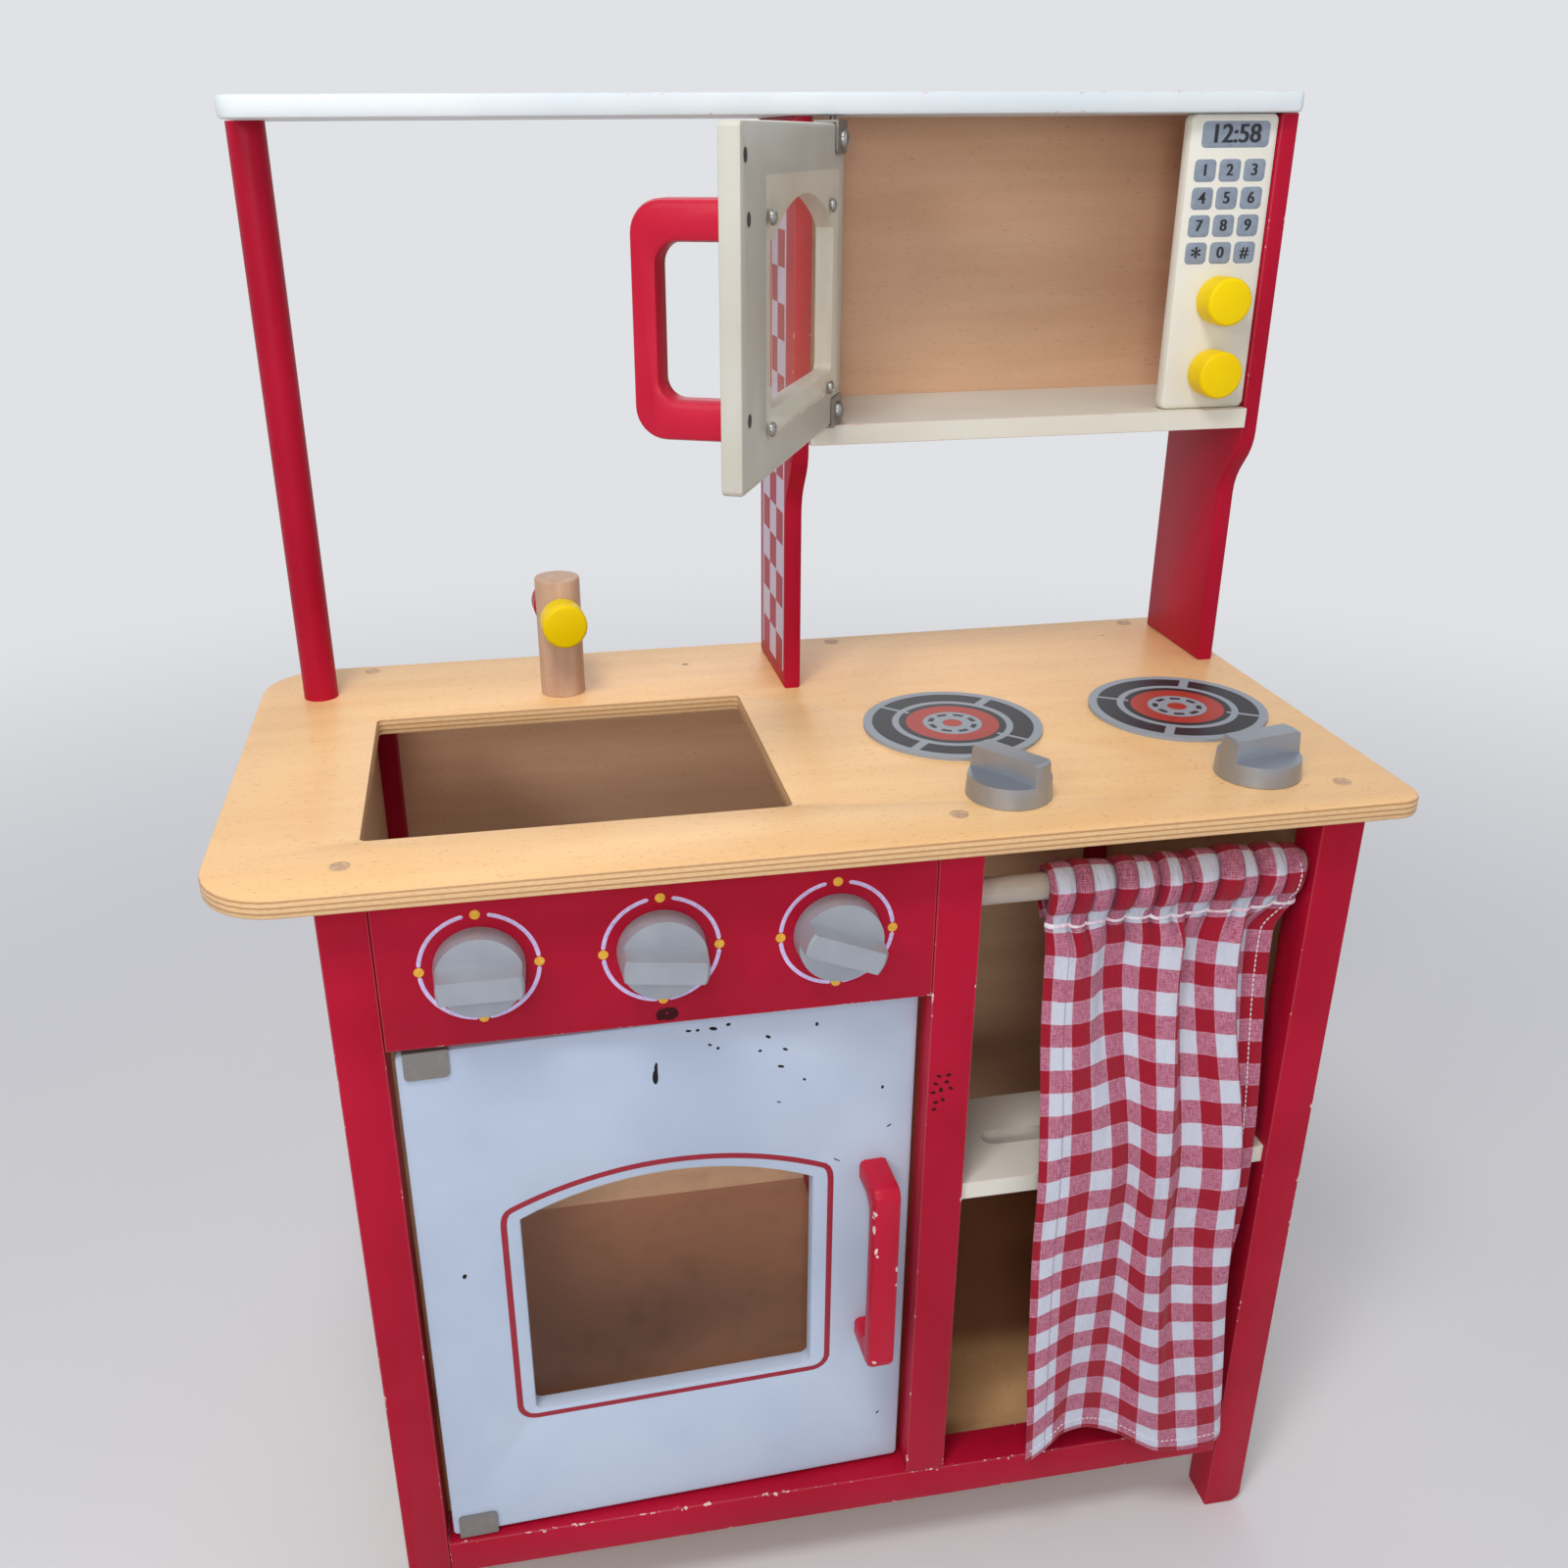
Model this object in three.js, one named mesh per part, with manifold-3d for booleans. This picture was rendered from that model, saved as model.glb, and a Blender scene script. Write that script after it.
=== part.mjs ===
import * as THREE from "three";
import { mergeVertices } from "three/addons/utils/BufferGeometryUtils.js";
import Module from "manifold-3d";

// Wooden toy kitchen, in millimetres, +Z up. The front plane of the legs is at Y 0 until the last line.

const wasm = await Module();
wasm.setup();

// Worktop
const worktopWidth = 600;
const worktopDepth = 311;
const worktopThickness = 10;
const worktopTop = 510;
const worktopFrontOverhang = 16;
const worktopLeftRadius = 38;
const worktopRightRadius = 15;
const worktopEdge = 1.5;

// Sink cut-out, from the worktop's left and front edges
const sinkLeft = 71.6;
const sinkFront = 54.6;
const sinkWidth = 211.8;
const sinkDepth = 159.8;
const sinkRadius = 3;

// Legs and frame
const legSize = 24;
const legEdge = 1.6;
const footRadius = 8;
const legLeftInset = 51;
const legRightInset = 22.7;
const railClearance = 49;
const ovenOpeningWidth = 274;
const controlPanelHeight = 86.5;
const controlPanelThickness = 16;

// Thin boards of the carcass
const sidePanelThickness = 6;
const floorThickness = 6;
const floorDrop = 12;
const backPanelThickness = 3;
const backBoardThickness = 12;
const backBoardHeight = 200;

// Cupboard shelf
const cupboardShelfSetback = 4;
const cupboardShelfDepth = 73;
const cupboardShelfThickness = 11;
const cupboardShelfTop = 286.6;
const slotWidth = 12.4;
const slotEndInset = 24;
const slotFront = 29.2;

// Curtain rod
const rodRadius = 7.2;
const rodSetback = 15;
const rodHeight = 463.7;
const rodSocketDepth = 8;

// Curtain
const curtainLeftGap = 32;
const curtainRightGap = 3.3;
const curtainHemInset = 20;
const curtainHemRightInset = 3;
const curtainHeaderHalfHeight = 20;
const curtainHeaderHalfDepth = 9.6;
const curtainGather = 1;
const curtainRuffle = 1.6;
const curtainHemHeight = 82;
const curtainThickness = 2;
const curtainTopSetback = 7;
const curtainHemReach = 8;
const curtainShelfReach = 5.6;
const curtainTopFold = 2.6;
const curtainHemFold = 4.6;
const curtainGathers = 11;
const curtainHemLift = 11;

// Fold heights across the curtain, as shares: where they are on its width, and how far forward
const foldShares = [
  [0, 0], [0.12, 0.9], [0.2, 0.7], [0.29, -0.8], [0.38, -1], [0.48, -0.2], [0.6, 1],
  [0.645, -0.9], [0.72, 0.1], [0.84, 1], [0.88, -0.9], [1, -0.8]
];

// Oven door
const ovenDoorThickness = 10;
const ovenDoorBottomGap = 3;
const ovenDoorTopGap = 4.5;
const ovenDoorSetback = 3.5;
const ovenDoorSideGap = 3.4;
const ovenDoorFreeGap = 2.8;
const ovenPivotInset = 7.8;
const ovenDoorAjar = THREE.MathUtils.degToRad(2);
const doorEdge = 1.5;
const doorCorner = 3;
const ovenWindowMargins = { left: 53.6, right: 55.7, bottom: 87, top: 93, rise: 18 };
const windowRadius = 4;
const paneThickness = 2;
const ovenPaneLap = 10;

// Handles, cut from the same board
const handleThickness = 15.5;
const handleEdge = 3;
const handleGrip = 12;
const ovenHandleHeight = 127;
const ovenHandleReach = 29;
const ovenHandleFoot = 14;
const ovenHandleOuterRadius = 8;
const ovenHandleInnerRadius = 6;
const ovenHandleBottom = 102;
const ovenHandleEdgeInset = 14;
const microwaveHandleTop = 29;
const microwaveHandleReach = 40;
const microwaveHandleFoot = 17;
const microwaveHandleOuterRadius = 14;
const microwaveHandleInnerRadius = 9;
const microwaveHandleBottom = 22.5;
const microwaveHandleEdgeInset = 4.3;

// Pivot clips
const clipMetal = 1.2;
const clipWidth = 22;
const clipLap = 14.5;
const clipCorner = 2.5;
const ovenClipPastPivot = 4.2;
const pinRadius = 1.5;
const pinSocketDepth = 7;

// Knobs
const knobRadius = 22;
const knobTopRadius = 20.6;
const knobHeight = 22.5;
const knobEdge = 1.2;
const knobShoulderHeight = 12;
const knobShoulderRim = 10.8;
const gripBarWidth = 11.5;
const gripBarSpread = 13.5;
const knobPitch = 87.3;
const middleKnobInset = 135.8;
const knobTurns = [0, -7, -22].map(THREE.MathUtils.degToRad);
const shaftRadius = 3;
const shaftHeadRadius = 6;
const shaftHeadHeight = 2.5;
const shaftInKnob = 8.3;
const peg = { radius: 13, height: 16.4, edge: 2 };

// Hob
const hobRadius = 50.5;
const hobThickness = 2;
const hobRight = 69.5;
const hobPitch = 136.1;
const hobFront = 141;
const hobKnobFront = 47.5;
const hobKnobTurns = [-56, 11].map(THREE.MathUtils.degToRad);

// Tap
const tapRadius = 13.25;
const tapHeight = 71.5;
const tapEdge = 1.5;
const tapLeft = 180.7;
const tapBehindSink = 28.6;
const tapTenonRadius = 6;
const tapTenonLength = 9;
const tapAxleHeight = 49;
const tapAxleRadius = 4;
const tapTurn = THREE.MathUtils.degToRad(4.2);

// Upper structure, from the worktop's left and front edges
const upperHeight = 316.7;
const topBoardThickness = 10.7;
const topBoardLeft = 30;
const topBoardRight = 9;
const topBoardFront = 196;
const topBoardDepth = 104;
const topBoardRadius = 14;
const topBoardRightRadius = 4;
const topBoardEdge = 2;
const boardEdge = 1.6;
const postRadius = 10;
const postLeft = 36;
const postFront = 261;
const uprightThickness = 10.2;
const uprightRightInset = 8;
const middleUprightInset = 287;
const uprightFront = 219.5;
const uprightDepth = 75.5;
const uprightSweep = 17.1;
const sweepBottom = 107;
const sweepTop = 147;

// Microwave
const microwaveFloorHeight = 150;
const microwaveFloorThickness = 11;
const microwaveFloorProud = 3.4;
const microwaveBackThickness = 5;
const microwaveBackDrop = 27;
const keypadWidth = 51;
const keypadThickness = 10;
const keypadEdge = 2.5;
const keypadCorner = 4;
const keypadSetback = 1.6;
const keypadKnobInset = 26.6;
const keypadKnobHeights = [20.7, 60.3];
const microwaveDoorOpen = THREE.MathUtils.degToRad(115.5);
const microwaveDoorThickness = 10;
const microwaveDoorSideGap = 3;
const microwaveDoorFreeGap = 1.4;
const microwaveDoorBottomGap = 2;
const microwaveDoorTopGap = 3.7;
const microwavePivotInset = 7.5;
const microwavePivotSetback = 1.6;
const microwaveWindowMargins = { left: 25.5, right: 50.7, bottom: 30, top: 31, rise: 18 };
const microwavePaneLap = 10;
const screwHoleRadius = 2.5;
const catchHoleDrop = 13;
const catchHoleInset = 7;

// Fits
const clearance = 0.3;
const overrun = 2;
const weld = 0.001;

// Smoothness, in counts
const arcSteps = 4;
const edgeSteps = 2;
const rimSteps = 3;
const roundSteps = 32;
const smallRoundSteps = 16;
const discSteps = 40;

const paint = (color, roughness, metalness = 0) =>
  new THREE.MeshStandardMaterial({ color, roughness, metalness });
const redPaint = paint(0xb8143a, 0.45);
const whitePaint = paint(0xe9eef0, 0.45);
const naturalWood = paint(0xd9a86c, 0.6);
const plyWood = paint(0xeec896, 0.55);
const paleWood = paint(0xcbb595, 0.65);
const yellowPaint = paint(0xf2d010, 0.4);
const silverPlastic = paint(0xa9aeb4, 0.35, 0.6);
const steel = paint(0x9a9ca0, 0.35, 0.9);
const hobPrint = paint(0x3a3b40, 0.5);
const clearPlastic = paint(0xdfe4e6, 0.1);
const gingham = paint(0xc98a9a, 0.9);

const group = new THREE.Group();

const add = (name, geometry, material, parent = group) => {
  const mesh = new THREE.Mesh(geometry, material);
  mesh.name = name;
  parent.add(mesh);
  return mesh;
};

// A closed geometry as a solid for cutting and joining
const solid = (geometry) => {
  const plain = geometry.index ? geometry.toNonIndexed() : geometry.clone();
  plain.deleteAttribute("normal");
  plain.deleteAttribute("uv");
  const merged = mergeVertices(plain, weld);
  return new wasm.Manifold(
    new wasm.Mesh({
      numProp: 3,
      vertProperties: new Float32Array(merged.attributes.position.array),
      triVerts: new Uint32Array(merged.index.array),
    })
  );
};

// A solid as a geometry with flat-shaded faces
const shapeOf = (body) => {
  const mesh = body.getMesh();
  const geometry = new THREE.BufferGeometry();
  geometry.setAttribute("position", new THREE.BufferAttribute(new Float32Array(mesh.vertProperties), 3));
  geometry.setIndex(new THREE.BufferAttribute(new Uint32Array(mesh.triVerts), 1));
  const flat = geometry.toNonIndexed();
  flat.computeVertexNormals();
  return flat;
};

const cut = (geometry, ...tools) =>
  shapeOf(tools.reduce((body, tool) => body.subtract(solid(tool)), solid(geometry)));

// A rectangle with one radius for each corner: low left, low right, high right, high left
const rectangle = (x0, y0, x1, y1, radii = [0, 0, 0, 0], Kind = THREE.Shape) => {
  const [a, b, c, d] = radii;
  const outline = new Kind();
  outline.moveTo(x0 + a, y0);
  outline.lineTo(x1 - b, y0);
  if (b > 0) outline.absarc(x1 - b, y0 + b, b, -Math.PI / 2, 0);
  outline.lineTo(x1, y1 - c);
  if (c > 0) outline.absarc(x1 - c, y1 - c, c, 0, Math.PI / 2);
  outline.lineTo(x0 + d, y1);
  if (d > 0) outline.absarc(x0 + d, y1 - d, d, Math.PI / 2, Math.PI);
  outline.lineTo(x0, y0 + a);
  if (a > 0) outline.absarc(x0 + a, y0 + a, a, Math.PI, 1.5 * Math.PI);
  return outline;
};

const evenCorners = (radius) => [radius, radius, radius, radius];

// A window with rounded lower corners and an arched head
const archedOutline = (x0, y0, width, side, rise, radius, Kind = THREE.Path) => {
  const outline = new Kind();
  const half = width / 2;
  const arcRadius = (half * half + rise * rise) / (2 * rise);
  const sweep = 2 * Math.atan(rise / half);
  const up = Math.PI / 2;
  outline.moveTo(x0 + radius, y0);
  outline.lineTo(x0 + width - radius, y0);
  outline.absarc(x0 + width - radius, y0 + radius, radius, -up, 0);
  outline.lineTo(x0 + width, y0 + side);
  outline.absarc(x0 + half, y0 + side + rise - arcRadius, arcRadius, up - sweep, up);
  outline.absarc(x0 + half, y0 + side + rise - arcRadius, arcRadius, up, up + sweep);
  outline.lineTo(x0, y0 + radius);
  outline.absarc(x0 + radius, y0 + radius, radius, Math.PI, Math.PI + up);
  return outline;
};

// A board lying flat: its outline in X and Y, its thickness up from Z 0
const slab = (outline, thickness, edge = 0, curveSegments = arcSteps) => {
  const geometry = new THREE.ExtrudeGeometry(outline, {
    depth: thickness - 2 * edge,
    bevelEnabled: edge > 0,
    bevelThickness: edge,
    bevelSize: edge,
    bevelOffset: -edge,
    bevelSegments: edgeSteps,
    curveSegments,
  });
  return geometry.translate(0, 0, edge);
};

// A board facing the front: its outline in X and Z, its thickness back from Y 0
const facing = (outline, thickness, edge = 0, curveSegments = arcSteps) =>
  slab(outline, thickness, edge, curveSegments).rotateX(Math.PI / 2).translate(0, thickness, 0);

// A board facing the side: its outline in Y and Z, its thickness to the right from X 0
const sideways = (outline, thickness, edge = 0, curveSegments = arcSteps) =>
  slab(outline, thickness, edge, curveSegments).rotateX(Math.PI / 2).rotateZ(Math.PI / 2);

const block = (x0, y0, z0, x1, y1, z1) => {
  const geometry = new THREE.BoxGeometry(x1 - x0, y1 - y0, z1 - z0);
  return geometry.translate((x0 + x1) / 2, (y0 + y1) / 2, (z0 + z1) / 2);
};

// A round bar along Z, from z0 up to z1
const bar = (radius, z0, z1, steps = smallRoundSteps) => {
  const geometry = new THREE.CylinderGeometry(radius, radius, z1 - z0, steps);
  return geometry.rotateX(Math.PI / 2).translate(0, 0, (z0 + z1) / 2);
};

// A round body along Z from pairs of radius and height
const turned = (profile, steps = roundSteps) => {
  const points = profile.map(([radius, height]) => new THREE.Vector2(radius, height));
  return new THREE.LatheGeometry(points, steps).rotateX(Math.PI / 2);
};

// Points of a rounded upper rim, from the wall up to the top face
const roundedRim = (radius, height, edge) =>
  Array.from({ length: rimSteps + 1 }, (_, i) => {
    const angle = (i * Math.PI) / 2 / rimSteps;
    return [radius - edge + edge * Math.cos(angle), height - edge + edge * Math.sin(angle)];
  });

// Places that several pieces share
const worktopLeft = -worktopWidth / 2;
const worktopRight = worktopWidth / 2;
const worktopFront = -worktopFrontOverhang;
const worktopBack = worktopFront + worktopDepth;
const legTop = worktopTop - worktopThickness;
const legLeftOuter = worktopLeft + legLeftInset;
const legLeftInner = legLeftOuter + legSize;
const legRightOuter = worktopRight - legRightInset;
const legRightInner = legRightOuter - legSize;
const backLegBack = worktopBack - backPanelThickness;
const backLegFront = backLegBack - legSize;
const railTop = railClearance + legSize;
const stileLeft = legLeftInner + ovenOpeningWidth;
const stileRight = stileLeft + legSize;
const sideLeftInner = legLeftInner - legSize / 2;
const sideRightInner = legRightInner + legSize / 2;
const partitionLeft = stileLeft + (legSize - sidePanelThickness) / 2;
const floorTop = railTop - floorDrop;
const panelBottom = legTop - controlPanelHeight;
const panelCentre = legLeftInner + middleKnobInset;
const upperTop = worktopTop + upperHeight;
const uprightRightOuter = worktopRight - uprightRightInset;
const uprightRightInner = uprightRightOuter - uprightThickness;
const uprightMiddleLeft = worktopRight - middleUprightInset;
const uprightMiddleRight = uprightMiddleLeft + uprightThickness;
const uprightFrontLow = worktopFront + uprightFront;
const uprightFrontHigh = uprightFrontLow - uprightSweep;
const uprightBack = uprightFrontLow + uprightDepth;
const microwaveFloorTop = worktopTop + microwaveFloorHeight + microwaveFloorThickness;

// Legs: square bars with eased edges and a rounded outer corner at the foot
const leg = (x0, y0, radii) =>
  facing(rectangle(x0, 0, x0 + legSize, legTop, radii), legSize, legEdge).translate(0, y0, 0);
const leftFoot = [footRadius, 0, 0, 0];
const rightFoot = [0, footRadius, 0, 0];

// A round socket that takes the rod's end
const rodSocket = (x0, x1) =>
  bar(rodRadius + clearance, x0, x1, roundSteps).rotateY(Math.PI / 2).translate(0, rodSetback, rodHeight);

const legSocket = rodSocket(legRightInner - overrun, legRightInner + rodSocketDepth);
add("leg_front_left", leg(legLeftOuter, 0, leftFoot), redPaint);
add("leg_front_right", cut(leg(legRightInner, 0, rightFoot), legSocket), redPaint);
add("leg_back_left", leg(legLeftOuter, backLegFront, leftFoot), redPaint);
add("leg_back_right", leg(legRightInner, backLegFront, rightFoot), redPaint);

// Frame: stile, back post and rail
const ovenPivotX = legLeftInner + ovenDoorSideGap + ovenPivotInset;
const ovenPivotY = ovenDoorSetback + ovenDoorThickness / 2;
const pinSocket = (x, y, z0, z1) => bar(pinRadius + clearance, z0, z1).translate(x, y, 0);

const stile = facing(rectangle(stileLeft, railTop, stileRight, legTop), legSize, legEdge);
add("front_stile", cut(stile, rodSocket(stileRight - rodSocketDepth, stileRight + overrun)), redPaint);
const backPost = facing(rectangle(stileLeft, railClearance, stileRight, legTop), legSize, legEdge);
add("back_post", backPost.translate(0, backLegFront, 0), redPaint);
const rail = facing(rectangle(legLeftInner, railClearance, legRightInner, railTop), legSize, legEdge);
const railSocket = pinSocket(ovenPivotX, ovenPivotY, railTop - pinSocketDepth, railTop + overrun);
add("bottom_rail", cut(rail, railSocket), redPaint);

// Control panel, bored for three shafts and the door's upper pin
const panelKnobXs = [-1, 0, 1].map((step) => panelCentre + step * knobPitch);
const panelKnobZ = (panelBottom + legTop) / 2;
const shaftBore = (length) => bar(shaftRadius + clearance, -overrun, length + overrun);
const panelBores = panelKnobXs.map((x) =>
  shaftBore(controlPanelThickness).rotateX(-Math.PI / 2).translate(x, 0, panelKnobZ)
);
const panelOutline = rectangle(legLeftInner, panelBottom, stileLeft, legTop);
add(
  "control_panel",
  cut(
    facing(panelOutline, controlPanelThickness, legEdge),
    ...panelBores,
    pinSocket(ovenPivotX, ovenPivotY, panelBottom - overrun, panelBottom + pinSocketDepth)
  ),
  redPaint
);

// Side panels, partition, floor and back
const upright = (name, x0, z0) =>
  add(name, block(x0, legSize, z0, x0 + sidePanelThickness, backLegFront, legTop), naturalWood);
upright("side_panel_left", sideLeftInner - sidePanelThickness, railClearance);
upright("side_panel_right", sideRightInner, railClearance);
upright("partition", partitionLeft, floorTop);

// The floor is notched round the back legs and the back post
const floorOutline = new THREE.Shape();
floorOutline.moveTo(sideLeftInner, legSize);
floorOutline.lineTo(sideRightInner, legSize);
floorOutline.lineTo(sideRightInner, backLegFront);
floorOutline.lineTo(legRightInner, backLegFront);
floorOutline.lineTo(legRightInner, backLegBack);
floorOutline.lineTo(stileRight, backLegBack);
floorOutline.lineTo(stileRight, backLegFront);
floorOutline.lineTo(stileLeft, backLegFront);
floorOutline.lineTo(stileLeft, backLegBack);
floorOutline.lineTo(legLeftInner, backLegBack);
floorOutline.lineTo(legLeftInner, backLegFront);
floorOutline.lineTo(sideLeftInner, backLegFront);
add("floor_panel", slab(floorOutline, floorThickness).translate(0, 0, floorTop - floorThickness), naturalWood);
const backPanel = block(legLeftOuter, backLegBack, railClearance, legRightOuter, worktopBack, legTop);
add("back_panel", backPanel, naturalWood);

const backBoard = (name, x0, x1) => {
  const board = block(x0, backLegBack - backBoardThickness, legTop - backBoardHeight, x1, backLegBack, legTop);
  add(name, board, naturalWood);
};
backBoard("back_board_left", legLeftInner, stileLeft);
backBoard("back_board_right", stileRight, legRightInner);

// Cupboard shelf with its long slot
const cupboardShelfBack = cupboardShelfSetback + cupboardShelfDepth;
const slotY = cupboardShelfSetback + slotFront;
const shelfOutline = rectangle(stileRight, cupboardShelfSetback, legRightInner, cupboardShelfBack);
shelfOutline.holes.push(
  rectangle(
    stileRight + slotEndInset, slotY,
    legRightInner - slotEndInset, slotY + slotWidth,
    evenCorners(slotWidth / 2), THREE.Path
  )
);
const shelf = slab(shelfOutline, cupboardShelfThickness);
add("cupboard_shelf", shelf.translate(0, 0, cupboardShelfTop - cupboardShelfThickness), whitePaint);

// Worktop with the sink cut-out, the knob bores and the tap's socket
const worktopOutline = rectangle(
  worktopLeft, worktopFront, worktopRight, worktopBack,
  [worktopLeftRadius, worktopRightRadius, worktopRightRadius, worktopLeftRadius]
);
worktopOutline.holes.push(
  rectangle(
    worktopLeft + sinkLeft, worktopFront + sinkFront,
    worktopLeft + sinkLeft + sinkWidth, worktopFront + sinkFront + sinkDepth,
    evenCorners(sinkRadius), THREE.Path
  )
);
const hobXs = [worktopRight - hobRight - hobPitch, worktopRight - hobRight];
const hobY = worktopFront + hobFront;
const hobKnobY = worktopFront + hobKnobFront;
const tapX = worktopLeft + tapLeft;
const tapY = worktopFront + sinkFront + sinkDepth + tapBehindSink;
const worktopBores = hobXs.map((x) => shaftBore(worktopThickness).translate(x, hobKnobY, legTop));
const tapSocket = bar(tapTenonRadius + clearance, -overrun, worktopThickness + overrun, roundSteps);
add(
  "worktop",
  cut(
    slab(worktopOutline, worktopThickness, worktopEdge).translate(0, 0, legTop),
    ...worktopBores,
    tapSocket.translate(tapX, tapY, legTop)
  ),
  plyWood
);

// Curtain rod
const rodReach = rodSocketDepth - clearance;
const rod = bar(rodRadius, stileRight - rodReach, legRightInner + rodReach, roundSteps);
add("curtain_rod", rod.rotateY(Math.PI / 2).translate(0, rodSetback, rodHeight), paleWood);

// Curtain: a gathered sleeve round the rod and a folded sheet that hangs from it
const curtainLeft = stileRight + curtainLeftGap;
const curtainRight = legRightInner - curtainRightGap;
const sleeveSides = 12;
const sleeveSteps = 30;
const sheetSteps = 28;
const sheetRows = 11;

// A closed mesh from rings of points, with a fan at each end
const loft = (rings) => {
  const sides = rings[0].length;
  const points = rings.flat();
  const faces = [];
  for (let i = 0; i + 1 < rings.length; i += 1) {
    for (let j = 0; j < sides; j += 1) {
      const a = i * sides + j;
      const b = i * sides + ((j + 1) % sides);
      faces.push(a, b, b + sides, a, b + sides, a + sides);
    }
  }
  const last = (rings.length - 1) * sides;
  for (let j = 1; j + 1 < sides; j += 1) {
    faces.push(0, j + 1, j, last, last + j, last + j + 1);
  }
  const geometry = new THREE.BufferGeometry();
  geometry.setAttribute("position", new THREE.Float32BufferAttribute(points.flat(), 3));
  geometry.setIndex(faces);
  return geometry;
};

const turn = 2 * Math.PI;
const sleeveRing = (share) => {
  const x = curtainLeft + share * (curtainRight - curtainLeft);
  const wave = Math.cos(turn * curtainGathers * share);
  const ruffle = curtainRuffle * Math.sin(turn * 2 * share) - curtainRuffle * wave;
  return Array.from({ length: sleeveSides }, (_, side) => {
    const angle = (turn * side) / sleeveSides;
    const lift = Math.sin(angle) > 0 ? ruffle : 0;
    const depth = curtainHeaderHalfDepth + curtainGather * wave;
    const y = rodSetback + depth * Math.cos(angle);
    const z = rodHeight + (curtainHeaderHalfHeight + lift) * Math.sin(angle);
    return [x, y, z];
  });
};
const sleeve = loft(Array.from({ length: sleeveSteps + 1 }, (_, i) => sleeveRing(i / sleeveSteps)));

// The sheet leans forward past the shelf's edge, and its folds widen towards the hem
const sheetTop = rodHeight - curtainHeaderHalfHeight + 2 * curtainThickness;
const foldAt = (across) => {
  const next = Math.max(1, foldShares.findIndex(([share]) => share >= across));
  const [from, low] = foldShares[next - 1];
  const [to, high] = foldShares[next];
  const share = (across - from) / (to - from);
  return low + (high - low) * share * share * (3 - 2 * share);
};
const sheetPoint = (across, down, side) => {
  const left = curtainLeft + curtainHemInset * down;
  const right = curtainRight - curtainHemRightInset * down;
  const x = left + across * (right - left);
  const lean = Math.min(1, down / ((sheetTop - cupboardShelfTop) / (sheetTop - curtainHemHeight)));
  const ease = lean * lean * (3 - 2 * lean);
  const reach = curtainShelfReach + (curtainHemReach - curtainShelfReach) * down;
  const mean = curtainTopSetback - (curtainTopSetback + reach) * ease;
  const depth = curtainTopFold + (curtainHemFold - curtainTopFold) * down;
  const y = mean - depth * foldAt(across) + (side * curtainThickness) / 2;
  const hem = curtainHemHeight + curtainHemLift * Math.sin(turn * across) * down;
  return [x, y, sheetTop + down * (hem - sheetTop)];
};
const sheetRing = (across) => {
  const front = [];
  const back = [];
  for (let row = 0; row <= sheetRows; row += 1) {
    front.push(sheetPoint(across, row / sheetRows, -1));
    back.unshift(sheetPoint(across, row / sheetRows, 1));
  }
  return [...front, ...back];
};
const sheet = loft(Array.from({ length: sheetSteps + 1 }, (_, i) => sheetRing(i / sheetSteps)));
const rodPassage = bar(rodRadius + 2 * clearance, curtainLeft - overrun, curtainRight + overrun, roundSteps);
const curtainBody = solid(sleeve)
  .add(solid(sheet))
  .subtract(solid(rodPassage.rotateY(Math.PI / 2).translate(0, rodSetback, rodHeight)));
add("curtain", shapeOf(curtainBody), gingham);

// A U-shaped pivot clip over the edge of a door, with its pin upwards from Z 0
const clip = (doorThickness, pinLength, pastPivot) => {
  const inner = doorThickness / 2 + clearance;
  const outer = inner + clipMetal;
  const outline = new THREE.Shape();
  outline.moveTo(-outer, -clipLap);
  outline.lineTo(-inner, -clipLap);
  outline.lineTo(-inner, clearance);
  outline.lineTo(inner, clearance);
  outline.lineTo(inner, -clipLap);
  outline.lineTo(outer, -clipLap);
  outline.lineTo(outer, clearance + clipMetal);
  outline.lineTo(-outer, clearance + clipMetal);
  const channel = sideways(outline, clipWidth).translate(-pastPivot, 0, 0);
  const plate = facing(
    rectangle(
      -pastPivot, -clipLap, clipWidth - pastPivot, clearance + clipMetal + overrun,
      [clipCorner, clipCorner, 0, 0]
    ),
    2 * (outer + overrun)
  ).translate(0, -outer - overrun, 0);
  const pin = bar(pinRadius, clearance + clipMetal / 2, pinLength);
  return shapeOf(solid(channel).intersect(solid(plate)).add(solid(pin)));
};

// A bracket handle standing out from a door's front face, its foot at Z 0. Its outline runs past the face,
// where it is cut flat, so its edges are rounded all the way to the door.
const handle = (height, reach, foot, outerRadius, innerRadius) => {
  const fillet = Math.min(innerRadius, height / 2 - foot);
  const past = handleEdge + overrun;
  const inner = handleGrip - reach;
  const outline = new THREE.Shape();
  outline.moveTo(past, 0);
  outline.lineTo(past, foot);
  outline.lineTo(inner + fillet, foot);
  outline.absarc(inner + fillet, foot + fillet, fillet, 1.5 * Math.PI, Math.PI, true);
  outline.lineTo(inner, height - foot - fillet);
  outline.absarc(inner + fillet, height - foot - fillet, fillet, Math.PI, Math.PI / 2, true);
  outline.lineTo(past, height - foot);
  outline.lineTo(past, height);
  outline.lineTo(outerRadius - reach, height);
  outline.absarc(outerRadius - reach, height - outerRadius, outerRadius, Math.PI / 2, Math.PI);
  outline.lineTo(-reach, outerRadius);
  outline.absarc(outerRadius - reach, outerRadius, outerRadius, Math.PI, 1.5 * Math.PI);
  const body = sideways(outline, handleThickness, handleEdge);
  const behind = block(-overrun, 0, -overrun, handleThickness + overrun, past + overrun, height + overrun);
  return cut(body, behind).translate(-handleThickness / 2, 0, 0);
};

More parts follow.
